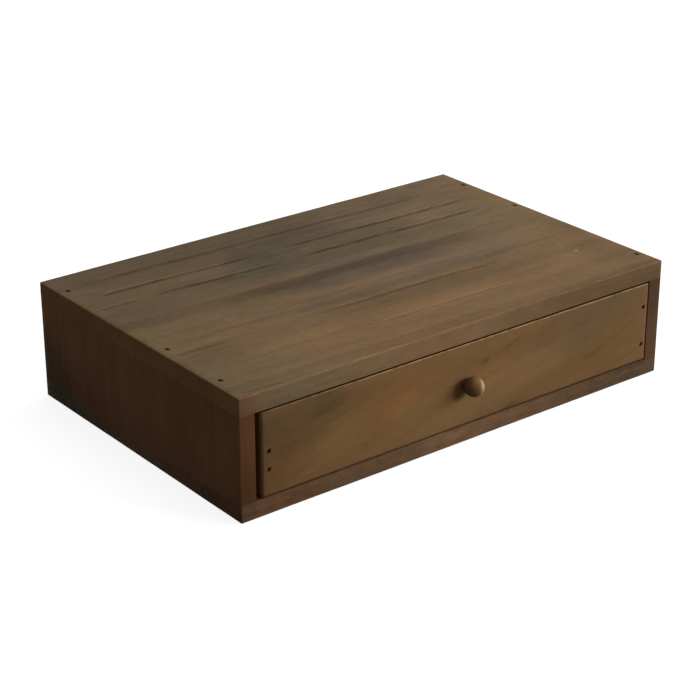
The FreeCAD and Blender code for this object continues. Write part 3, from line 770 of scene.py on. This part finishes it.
TOP_WASHES = from_rows([
    (-50, 80, 240, 110, 71, 81, 93),
    (-60, 92, 140, 32, 84, 85, 82),
    (16, 77, 40, 20, 72, 77, 82, 0.5),
    (-34, 46, 36, 22, 77, 88, 89, 0.8),
    (45, 50, 50, 16, 88, 92, 96),
    (10, 4, 90, 22, 88, 92, 97),
    (30, -48, 120, 34, 86, 88, 88),
    (-160, -100, 80, 60, 80, 90, 94),
    (-168, -112, 34, 8, 108, 92, 92),
    (120, -113, 110, 9, 72, 69, 68, 0.6),
    (137.6, -62.6, 1.6, 1.1, 230, 250, 280, 0.1),
    (-110, 26, 76, 30, 84, 84, 84),
    (-28, 64, 34, 24, 70, 73, 77, 0.7),
    (50, -8, 110, 34, 96, 100, 117),
    (-120, 65, 70, 40, 103, 99, 93),
    (122, 45, 40, 16, 115, 113, 112),
    (132, -18, 34, 14, 114, 113, 112),
    (-78, -8, 50, 10, 110, 110, 108),
    (-150, -55, 40, 18, 90, 90, 90),
    (152, -84, 24, 40, 93, 92, 92),
    (5, 18, 60, 7, 120, 116, 116),
    (-10, -28, 150, 12, 86, 91, 100),
    (-60, -43, 130, 12, 88, 88, 90),
    (-70, -72, 150, 16, 122, 118, 114),
    (80, -72, 130, 14, 114, 112, 110),
    (0, -103.5, 300, 6.5, 84, 81, 79, 0.5),
    (-172, -111, 18, 5, 84, 72, 72, 0.3),
    (110, 10, 110, 60, 96, 101, 102),
    (-158, -22, 30, 24, 90, 97, 96),
    (-156, -98, 26, 12, 92, 90, 88),
    (2, 66, 44, 26, 91, 92, 94),
    (158, -80, 26, 40, 90, 93, 94),
    (-34, -98, 44, 12, 111, 107, 105),
    (-17, -55, 30, 12, 108, 104, 100),
    (140, 18, 44, 30, 94, 101, 105),
    (100, 62, 50, 22, 106, 106, 108),
    (144, 102, 40, 16, 108, 113, 118),
    (-20, -111, 60, 3.5, 114, 107, 110, 0.5),
])


NAIL_MARK_REACH = 1.9 * MM
NAIL_MARK_TINT = (0.12, 0.08, 0.05)


def nail_marks(groups, axis, reach_across):
    """Return the dark rings that rust and stain leave round the nails of CAD groups."""
    return [
        Wash(along, across, NAIL_MARK_REACH, reach_across, NAIL_MARK_TINT, 0.2)
        for group in groups
        for along, across in nail_places(group, axis)
    ]


class CHEST_OT_top_board(bpy.types.Operator):
    """Model the top board, with its furrows and punched nail holes."""

    bl_idname = "chest.top_board"
    bl_label = "Top board"

    def execute(self, context):
        """Replace the CAD top board."""
        rubbed = {("-Y", "+Z"): 0.16, ("-X", "+Z"): 0.1, ("+X", "+Z"): 0.2}
        nails = ["top_nails_left", "top_nails_right"]
        low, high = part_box("top_board")
        streaks = from_corner(TOP_ROWS, low.x, high.y)
        piece, box = model_board("top_board", "X", "Y", edges_round("+Z"), rubbed,
                                 context.scene.chest_wear.case_easing, seed=4.0, streaks=streaks)
        punch_nail_holes(piece, box, "+Z", nails, seed=2.0)
        material = wood("top_board_stain", "XYZ", "board", seed=6.0, slope=TOP_SLOPE,
                        streaks=streaks, washes=TOP_WASHES + nail_marks(nails, "Z", 2.7 * MM),
                        contrast=0.85, mottling=0.42, end_tint=(0.56, 0.43, 0.31))
        stand_for(piece, "top_board", "case", material)
        return {"FINISHED"}


BASE_WASHES = from_rows([
    (-150, -110, 50, 14, 84, 75, 70),
    (-170, -110, 16, 14, 80, 82, 86),
    (150, -110, 50, 14, 72, 75, 80),
    (4, -110, 48, 14, 120, 116, 115, 0.6),
    (96, -110, 26, 14, 86, 86, 86),
    (-90, -110, 60, 14, 91, 90, 88),
])
# Painted shade: darker toward the rear of the bottom board's left end, at the foot of the shaded left
# face.
BASE_END_WASHES = from_rows([
    (-170, 110, 60, 70, 48, 70, 62),
])


# Painted shade along the bottom board's foot: how high it reaches and how dark it is, and how high
# and dark at the left end.
FOOT_HEIGHT = 0.6 * MM
FOOT_SHADE = 0.8
CORNER_HEIGHT = 2 * MM
CORNER_SHADE = 0.5


class CHEST_OT_bottom_board(bpy.types.Operator):
    """Model the bottom board, nailed from below."""

    bl_idname = "chest.bottom_board"
    bl_label = "Bottom board"

    def execute(self, context):
        """Replace the CAD bottom board."""
        piece, box = model_board("bottom_board", "X", "Y", edges_round("-Z"), {},
                                 context.scene.chest_wear.case_easing, seed=9.0)
        punch_nail_holes(piece, box, "-Z", ["bottom_nails_left", "bottom_nails_right"], seed=5.0)
        self.paint_foot_shade(piece, box)
        # The bottom board's end tint is darker than the top board's: partly end grain, partly painted
        # shade at the foot of the left face.
        material = wood("bottom_board_stain", "XYZ", "base", seed=41.0, slope=0.01,
                        washes=BASE_WASHES, contrast=1.1, mottling=0.9,
                        end_tint=(0.33, 0.245, 0.168), end_washes=BASE_END_WASHES)
        stand_for(piece, "bottom_board", "case", material)
        return {"FINISHED"}

    def paint_foot_shade(self, piece, box):
        """Paint shade along the foot, reaching higher at the left end."""
        grime = piece.data.attributes.new("grime", "FLOAT", "POINT")
        for vertex in piece.data.vertices:
            height = vertex.co.z - box[0].z
            if height < FOOT_HEIGHT:
                grime.data[vertex.index].value = FOOT_SHADE
            elif height < CORNER_HEIGHT and vertex.co.x < box[0].x + FOOT_HEIGHT:
                grime.data[vertex.index].value = CORNER_SHADE


LEFT_WASHES = from_rows([
    # The first four rows make the left face darker toward the bottom and toward its rear bottom
    # corner: painted shade.
    (8, 114, 52, 56, 34, 42, 36, 0.4),
    (10, 70, 40, 44, 82, 76, 76, 0.3),
    (12, 20, 26, 40, 90, 86, 88, 0.4),
    (8, 0, 24, 260, 86, 88, 92, 0.4),
    (60, 58, 90, 8, 90, 90, 90, 0.5),
    (34, 22, 60, 8, 88, 88, 88, 0.5),
    (52, -80, 50, 8, 89, 90, 90, 0.5),
    (60, -112, 30, 6, 122, 120, 150, 0.4),
])
RIGHT_WASHES = from_rows([
    (30, 0, 120, 300, 106, 127, 184),
    (62, -110, 26, 50, 82, 84, 82),
])


class CHEST_OT_end_boards(bpy.types.Operator):
    """Model the two end boards, rabbeted for the back panel."""

    bl_idname = "chest.end_boards"
    bl_label = "End boards"

    def execute(self, context):
        """Replace the CAD end boards."""
        slack = 0.2 * MM
        panel_low, panel_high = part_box("back_panel")
        for node, side, seed, washes in (("left_side", "-X", 13.0, LEFT_WASHES),
                                         ("right_side", "+X", 27.0, RIGHT_WASHES)):
            piece, box = model_board(node, "Y", "Z", [(side, "-Y"), (side, "+Y")], {},
                                     context.scene.chest_wear.case_easing, seed)
            low = Vector((panel_low.x - slack, panel_low.y, box[0].z - slack))
            high = Vector((panel_high.x + slack, panel_high.y + 2 * MM, box[1].z + slack))
            cut_away(piece, add_block("rabbet_cutter", low, high))
            material = wood(f"{node}_stain", "ZYX", "end", seed, slope=0.02, washes=washes,
                            contrast=0.7, gloss=0.04)
            stand_for(piece, node, "case", material)
        return {"FINISHED"}


class CHEST_OT_back_panel(bpy.types.Operator):
    """Model the panel behind the drawer."""

    bl_idname = "chest.back_panel"
    bl_label = "Back panel"

    def execute(self, context):
        """Replace the CAD back panel."""
        piece, box = model_board("back_panel", "X", "Z", [("-X", "+Y"), ("+X", "+Y")], {},
                                 radius=0.3 * MM, seed=33.0)
        punch_nail_holes(piece, box, "+Y", ["back_nails_left", "back_nails_right"], seed=8.0,
                         radius=0.9 * MM)
        material = wood("back_panel_stain", "XZY", "base", seed=61.0, slope=-0.01)
        stand_for(piece, "back_panel", "case", material)
        return {"FINISHED"}


FRONT_SLOPE = 0.20
FRONT_STREAKS = [
    Streak(20 * MM, 51 * MM, 48 * MM, 60 * MM, 3.0 * MM, 2.4 * MM, 0.20),
    Streak(100 * MM, 28 * MM, 152 * MM, 44 * MM, 3.2 * MM, 2.4 * MM, 0.16),
    Streak(108 * MM, 14 * MM, 158 * MM, 23 * MM, 3.2 * MM, 2.4 * MM, 0.14),
    Streak(-70 * MM, 18 * MM, 10 * MM, 34 * MM, 5.0 * MM, 4.0 * MM, 0.07),
]
FRONT_WASHES = from_rows([
    # The first row is painted shade on the front's rounded left edge beside the left gap, and the
    # second is painted shade over the front's left end.
    (-155.5, 40, 2.2, 300, 36, 34, 30, 0.2),
    (-150, 48, 64, 45, 75, 76, 82),
    (-106, 58, 15, 9, 78, 88, 86, 0.6),
    (-52, 47, 36, 14, 109, 98, 93),
    (-70, 24, 18, 9, 90, 88, 86),
    (16, 51, 4.5, 2.6, 80, 77, 72, 0.5),
    (20, 30, 80, 20, 112, 114, 118),
    (37, 14, 10, 2.6, 78, 84, 84, 0.5),
    (112, 58, 64, 20, 82, 90, 102),
    (50, 34, 130, 12, 108, 109, 112),
    (-140, 24, 30, 20, 104, 94, 88),
    # Painted shadow of the knob, round its foot.
    (-4, 36, 7, 7, 74, 74, 74, 0.3),
    (-51, 41, 18, 9, 113, 110, 108),
    (20, 40, 20, 9, 109, 107, 105),
    (85, 57, 60, 9, 92, 93, 95),
    (-149, 56, 14, 12, 92, 94, 96),
])


# How bare the front's top edge is at its left end, and how much barer it gets to the right. This bare
# wood is partly wear and partly a painted highlight where the edge catches the light.
WEAR_AND_HIGHLIGHT_LEFT = 0.25
WEAR_AND_HIGHLIGHT_RISE = 1.4
# The painted shade on the top face behind that edge, in the gap under the top board: how fast it
# fades to the rear, from how far behind the front, and the least of it.
GAP_SHADE_FADE = 0.06
GAP_SHADE_START = 2.0
GAP_SHADE_LEAST = 0.2


class CHEST_OT_drawer_front(bpy.types.Operator):
    """Model the drawer front, with its rubbed edges, nail holes, a painted highlight on its top edge
    and painted shade in its gaps.
    """

    bl_idname = "chest.drawer_front"
    bl_label = "Drawer front"

    def execute(self, context):
        """Replace the CAD drawer front."""
        easing = context.scene.chest_wear.front_easing
        # The top edge's bareness is partly wear and partly a painted highlight.
        rubbed = {("-Y", "+Z"): 1.5, ("+X", "-Y"): 0.7, ("-Y", "-Z"): 0.15}
        nails = ["front_nails_left", "front_nails_right"]
        piece, box = model_board("drawer_front", "X", "Z", edges_round("-Y"), rubbed, easing,
                                 seed=51.0)
        self.cut_groove(piece)
        self.cut_screw_hole(piece)
        punch_nail_holes(piece, box, "-Y", nails, seed=11.0)
        slice_block(piece, "Z", [box[0].z + 2.4 * easing])
        self.paint_edge_light_and_shade(piece, box, easing)
        material = wood("drawer_front_stain", "XZY", "front", seed=71.0, slope=FRONT_SLOPE,
                        streaks=FRONT_STREAKS,
                        washes=FRONT_WASHES + nail_marks(nails, "Y", 1.9 * MM),
                        contrast=0.6, mottling=0.3)
        stand_for(piece, "drawer_front", "drawer", material)
        return {"FINISHED"}

    def cut_groove(self, piece):
        """Cut the groove that holds the drawer's bottom."""
        panel_low, panel_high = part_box("drawer_bottom")
        slack = 0.15 * MM
        cut_away(piece, add_block("groove_cutter", panel_low - Vector((slack, slack, 0)),
                                  panel_high + Vector((slack, 0, slack))))

    def cut_screw_hole(self, piece):
        """Cut the countersunk hole of the knob's screw, from behind."""
        screw_low, screw_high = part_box("knob_screw")
        head = (screw_high.z - screw_low.z) / 2
        middle = Vector(((screw_low.x + screw_high.x) / 2, screw_high.y,
                         (screw_low.z + screw_high.z) / 2))
        cut_away(piece, add_punch(middle, Vector((0, 1, 0)), mouth=head, shaft=head / 2,
                                  mouth_depth=head / 2, depth=12 * MM))

    def paint_edge_light_and_shade(self, piece, box, easing):
        """Make the top edge barer to the right, partly wear and partly a painted highlight, and paint
        shade into the gaps behind that edge and along the foot.
        """
        grime = piece.data.attributes.new("grime", "FLOAT", "POINT")
        wear = piece.data.attributes["wear"]
        for vertex in piece.data.vertices:
            above = vertex.co.z - box[0].z
            below = box[1].z - vertex.co.z
            behind = vertex.co.y - box[0].y
            # Bare wood on the top edge, rising to the right: partly wear, partly a painted highlight.
            if below < easing:
                share = (vertex.co.x - box[0].x) / (box[1].x - box[0].x)
                wear.data[vertex.index].value *= min(1.0, WEAR_AND_HIGHLIGHT_LEFT + WEAR_AND_HIGHLIGHT_RISE * share)
            # Painted shade on the top face behind the edge, in the gap under the top board.
            if below < 0.1 * easing and behind > 0.5 * easing:
                faded = 1.0 - GAP_SHADE_FADE * max(0.0, behind / MM - GAP_SHADE_START)
                level = min(1.0, behind / easing, max(GAP_SHADE_LEAST, faded))
                grime.data[vertex.index].value = level
            # Painted shade on the foot of the front, in the gap above the bottom board, with less of
            # it a little higher.
            elif above < 0.7 * easing:
                grime.data[vertex.index].value = 1.0
            elif above < 1.1 * easing:
                grime.data[vertex.index].value = 0.55


class CHEST_OT_drawer_box(bpy.types.Operator):
    """Finish the drawer's sides, back and bottom."""

    bl_idname = "chest.drawer_box"
    bl_label = "Drawer box"

    def execute(self, context):
        """Give the CAD pieces of the drawer's box their wood."""
        grains = {"drawer_left_side": "YZX", "drawer_right_side": "YZX",
                  "drawer_back": "XZY", "drawer_bottom": "XYZ"}
        for seed, (node, order) in enumerate(grains.items(), start=81):
            finish(node, wood(f"{node}_stain", order, "inner", float(seed), contrast=0.8))
        return {"FINISHED"}


def turn_profile(start, radius, turns, foot):
    """Turn a ball on a neck, from half a circle round the start.

    The turns are the rings of the neck: distance behind the ball's middle and
    radius. The foot is how far the neck reaches.
    """
    bpy.ops.object.select_all(action="DESELECT")
    bpy.ops.mesh.primitive_circle_add(vertices=72, radius=radius, location=start)
    ball = bpy.context.object
    bpy.ops.object.transform_apply(location=True, rotation=True, scale=True)
    with editing(ball) as mesh:
        bpy.ops.mesh.select_all(action="SELECT")
        bpy.ops.mesh.bisect(plane_co=start, plane_no=(-1, 0, 0), clear_outer=True)
        bpy.ops.mesh.select_all(action="SELECT")
        bpy.ops.mesh.bisect(plane_co=start + Vector((0, turns[0][0], 0)), plane_no=(0, 1, 0),
                            clear_outer=True)
        bpy.ops.mesh.select_mode(type="VERT")
        bpy.ops.mesh.select_all(action="DESELECT")
        last = max(mesh.verts, key=lambda vertex: vertex.co.y)
        last.select_set(True)
        place = last.co.copy()
        for behind, ring in turns[1:] + [(foot, turns[-1][1]), (foot, 0.0)]:
            target = start + Vector((ring, behind, 0))
            bpy.ops.mesh.extrude_vertices_move(TRANSFORM_OT_translate={"value": target - place})
            place = target
        bpy.ops.mesh.select_all(action="SELECT")
        bpy.ops.mesh.spin(steps=72, angle=math.tau, center=start, axis=(0, 1, 0))
        bpy.ops.mesh.select_all(action="SELECT")
        bpy.ops.mesh.remove_doubles(threshold=0.01 * MM)
        bpy.ops.mesh.normals_make_consistent(inside=False)
    return ball


# The knob's neck: its radius, and how far it spreads where it meets the ball.
NECK_RADIUS = 3.75 * MM
NECK_SPREAD = 0.35 * MM
# The rings of the gouge: depth, and waves in radians per metre.
GOUGE_DEPTH = 0.03 * MM
GOUGE_WAVES = 5200
# Where the painted highlight sits on the ball, as bare wood on its lit right side: azimuth and
# elevation.
HIGHLIGHT_SIDE = direction(math.radians(58), math.radians(4))


class CHEST_OT_knob(bpy.types.Operator):
    """Turn the knob: a ball on a short neck, with the fine marks of the lathe."""

    bl_idname = "chest.knob"
    bl_label = "Knob"

    def execute(self, context):
        """Replace the CAD knob and finish its screw."""
        low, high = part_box("knob")
        radius = (high.z - low.z) / 2
        start = Vector(((low.x + high.x) / 2, low.y + radius, (low.z + high.z) / 2))
        foot = high.y - start.y
        widest = NECK_RADIUS + NECK_SPREAD
        join = math.sqrt(radius**2 - widest**2)
        turns = [(join, widest), (join + 0.35 * MM, NECK_RADIUS + 0.05 * MM),
                 (join + 0.8 * MM, NECK_RADIUS - 0.05 * MM), (foot - 0.5 * MM, NECK_RADIUS)]
        knob = turn_profile(start, radius, turns, foot)
        knob.name = "knob_turned"
        cut_away(knob, self.bore(start, foot))
        self.mark(knob, start)
        self.handle(knob, start)
        material = wood("knob_stain", "YXZ", "knob", seed=95.0, ring_gap=0.0022,
                        heart=(0.004, 0.031), gloss=0.01, polish=0.45,
                        end_tint=(0.86, 0.82, 0.78), bare="handled_wood",
                        bare_levels=(0.70, 0.84))
        stand_for(knob, "knob", "drawer", material, angle=40)
        zinc = tuple(context.scene.chest_stain.screw_zinc)
        finish("knob_screw", metal("screw_zinc", zinc, roughness=0.3, shade=0.7))
        return {"FINISHED"}

    def bore(self, start, foot):
        """Add the cutter of the hole that the screw goes into."""
        screw_low, screw_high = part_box("knob_screw")
        depth = start.y + foot - screw_low.y + 0.8 * MM
        return add_punch(start + Vector((0, foot, 0)), Vector((0, 1, 0)), mouth=1.7 * MM,
                         shaft=1.55 * MM, mouth_depth=0.3 * MM, depth=depth)

    def mark(self, knob, start):
        """Leave the shallow rings of the gouge on the ball."""
        for vertex in knob.data.vertices:
            along = vertex.co.y - start.y
            level = 0.5 + 0.5 * math.sin(along * GOUGE_WAVES + 3 * lump(vertex.co, 150.0, 6.0))
            vertex.co -= vertex.normal * GOUGE_DEPTH * level

    def handle(self, knob, start):
        """Paint a highlight on the ball's lit side as bare wood, and paint shade on the side away
        from the light.
        """
        # Here the wear attribute is a painted highlight on the lit side of the ball, and the other
        # attribute is painted shade on the side away from the light.
        wear = knob.data.attributes.new("wear", "FLOAT", "POINT")
        grime = knob.data.attributes.new("grime", "FLOAT", "POINT")
        for vertex in knob.data.vertices:
            rough = 0.06 * lump(vertex.co, 260.0, 3.0)
            side = (vertex.co - start).normalized().dot(HIGHLIGHT_SIDE) + rough
            wear.data[vertex.index].value = within(0.0, (side - 0.48) / 0.34, 1.0) ** 1.1
            grime.data[vertex.index].value = 0.5 * within(0.0, 0.45 - side, 1.0)


class CHEST_OT_nails(bpy.types.Operator):
    """Finish the nails and brads."""

    bl_idname = "chest.nails"
    bl_label = "Nails"

    def execute(self, context):
        """Give every CAD nail its dark iron."""
        iron = metal("nail_iron", tuple(context.scene.chest_stain.nail_iron), roughness=0.6,
                     shade=1.8, metallic=0.0, gloss=0.0)
        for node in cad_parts:
            if "nails" in node or "brads" in node:
                finish(node, iron)
        return {"FINISHED"}


# ---------------------------------------------------------------- stage

VIEW_AZIMUTH = math.radians(-38.22)
VIEW_ELEVATION = math.radians(24.25)
VIEW_DISTANCE = 1.248
VIEW_TARGET = Vector((-0.0248, -0.0262, 0.040))
SENSOR_WIDTH = 36.0
FRAME_WIDTH = 700
FOCAL_PIXELS = 1954

KEY_PLACE = direction(math.radians(44), math.radians(21)) * 2.5
KEY_SIZE = (1.9, 0.8)
TOP_PLACE = Vector((0.5, 0.3, 1.7))
TOP_SIZE = (1.2, 1.2)
LAMP_TARGET = Vector((0, 0, 0.05))

# The floor's grey in the light, its grey to the camera, and the glow that makes it white.
FLOOR_GREY = (0.13, 0.13, 0.13)
FLOOR_SEEN = (0.3, 0.3, 0.3)
FLOOR_GLOW = 0.84


def aim(thing, place, target):
    """Put a lamp or camera at a place, looking at the target."""
    thing.location = place
    thing.rotation_euler = (target - place).to_track_quat("-Z", "Y").to_euler()


def seen_rays(recipe):
    """Return 1 for rays that show a thing, straight, mirrored or through glass, else 0."""
    path = recipe.add("LightPath").outputs
    return recipe.math("MAXIMUM", path["Is Camera Ray"], recipe.math(
        "MAXIMUM", path["Is Glossy Ray"], path["Is Transmission Ray"]))


class CHEST_OT_stage(bpy.types.Operator):
    """Set up the floor, lamps, world and camera."""

    bl_idname = "chest.stage"
    bl_label = "Stage"

    def execute(self, context):
        """Build everything that isn't the chest."""
        stage = context.scene.chest_stage
        context.scene.view_settings.view_transform = "Standard"
        self.add_floor(stage)
        self.add_world(context.scene, stage)
        self.add_lamp("key_lamp", KEY_PLACE, KEY_SIZE, stage.key_power)
        self.add_lamp("top_lamp", TOP_PLACE, TOP_SIZE, stage.top_power)
        self.add_camera(context.scene)
        return {"FINISHED"}

    def add_floor(self, stage):
        """Lay a pale floor that keeps the chest's shadow."""
        bpy.ops.object.select_all(action="DESELECT")
        bpy.ops.mesh.primitive_plane_add(size=stage.floor_size, location=(0, 0, 0))
        floor = bpy.context.object
        floor.name = "floor"
        recipe = Recipe(bpy.data.materials.new("pale_floor"))
        seen = seen_rays(recipe)
        base = recipe.mix(seen, FLOOR_GREY, FLOOR_SEEN)
        shader = recipe.add("BsdfDiffuse", {"Color": base})
        glow = recipe.add("Emission", {"Color": (1, 1, 1, 1), "Strength": FLOOR_GLOW})
        both = recipe.add("AddShader", {0: shader.outputs[0], 1: glow.outputs[0]})
        kept = recipe.add("MixShader", {0: seen, 1: shader.outputs[0], 2: both.outputs[0]})
        recipe.add("OutputMaterial", {0: kept.outputs[0]})
        floor.data.materials.append(recipe.owner)

    def add_world(self, scene, stage):
        """Fill the room with even light, and show white behind the chest."""
        scene.world = bpy.data.worlds.new("studio")
        recipe = Recipe(scene.world)
        inputs = {"Value": seen_rays(recipe), "To Min": stage.fill_level, "To Max": 1.0}
        level = recipe.add("MapRange", inputs).outputs[0]
        background = recipe.add("Background", {"Color": (1, 1, 1, 1), "Strength": level})
        recipe.add("OutputWorld", {0: background.outputs[0]})

    def add_lamp(self, name, place, size, power):
        """Add a soft lamp of a width and height, aimed at the chest."""
        data = bpy.data.lights.new(name, "AREA")
        data.shape = "RECTANGLE"
        data.size, data.size_y = size
        data.energy = power
        lamp = bpy.data.objects.new(name, data)
        bpy.context.scene.collection.objects.link(lamp)
        aim(lamp, place, LAMP_TARGET)

    def add_camera(self, scene):
        """Add the camera, front and left of the chest and above it."""
        data = bpy.data.cameras.new("camera")
        data.sensor_width = SENSOR_WIDTH
        data.lens = SENSOR_WIDTH * FOCAL_PIXELS / FRAME_WIDTH
        data.clip_start = 0.05
        camera = bpy.data.objects.new("camera", data)
        scene.collection.objects.link(camera)
        place = VIEW_TARGET + direction(VIEW_AZIMUTH, VIEW_ELEVATION) * VIEW_DISTANCE
        aim(camera, place, VIEW_TARGET)
        scene.camera = camera


class CHEST_PT_panel(bpy.types.Panel):
    """Lists the chest's pieces in the sidebar."""

    bl_idname = "CHEST_PT_panel"
    bl_label = "Desk Chest"
    bl_space_type = "VIEW_3D"
    bl_region_type = "UI"
    bl_category = "Chest"

    def draw(self, context):
        """Draw a button for each operator."""
        for operator in OPERATORS:
            self.layout.operator(operator.bl_idname)


SETTINGS = {"chest_wear": ChestWear, "chest_stain": ChestStain, "chest_stage": ChestStage}
OPERATORS = [
    CHEST_OT_top_board,
    CHEST_OT_bottom_board,
    CHEST_OT_end_boards,
    CHEST_OT_back_panel,
    CHEST_OT_drawer_front,
    CHEST_OT_drawer_box,
    CHEST_OT_knob,
    CHEST_OT_nails,
    CHEST_OT_stage,
]


def register():
    """Register the settings, operators and panel."""
    for name, group in SETTINGS.items():
        bpy.utils.register_class(group)
        setattr(bpy.types.Scene, name, PointerProperty(type=group))
    for operator in OPERATORS:
        bpy.utils.register_class(operator)
    bpy.utils.register_class(CHEST_PT_panel)


def unregister():
    """Take the settings, operators and panel away again."""
    bpy.utils.unregister_class(CHEST_PT_panel)
    for operator in reversed(OPERATORS):
        bpy.utils.unregister_class(operator)
    for name, group in SETTINGS.items():
        delattr(bpy.types.Scene, name)
        bpy.utils.unregister_class(group)


def main():
    """Build the whole chest and its stage."""
    register()
    for operator in OPERATORS:
        group, name = operator.bl_idname.split(".")
        getattr(getattr(bpy.ops, group), name)()


if __name__ == "__main__":
    main()
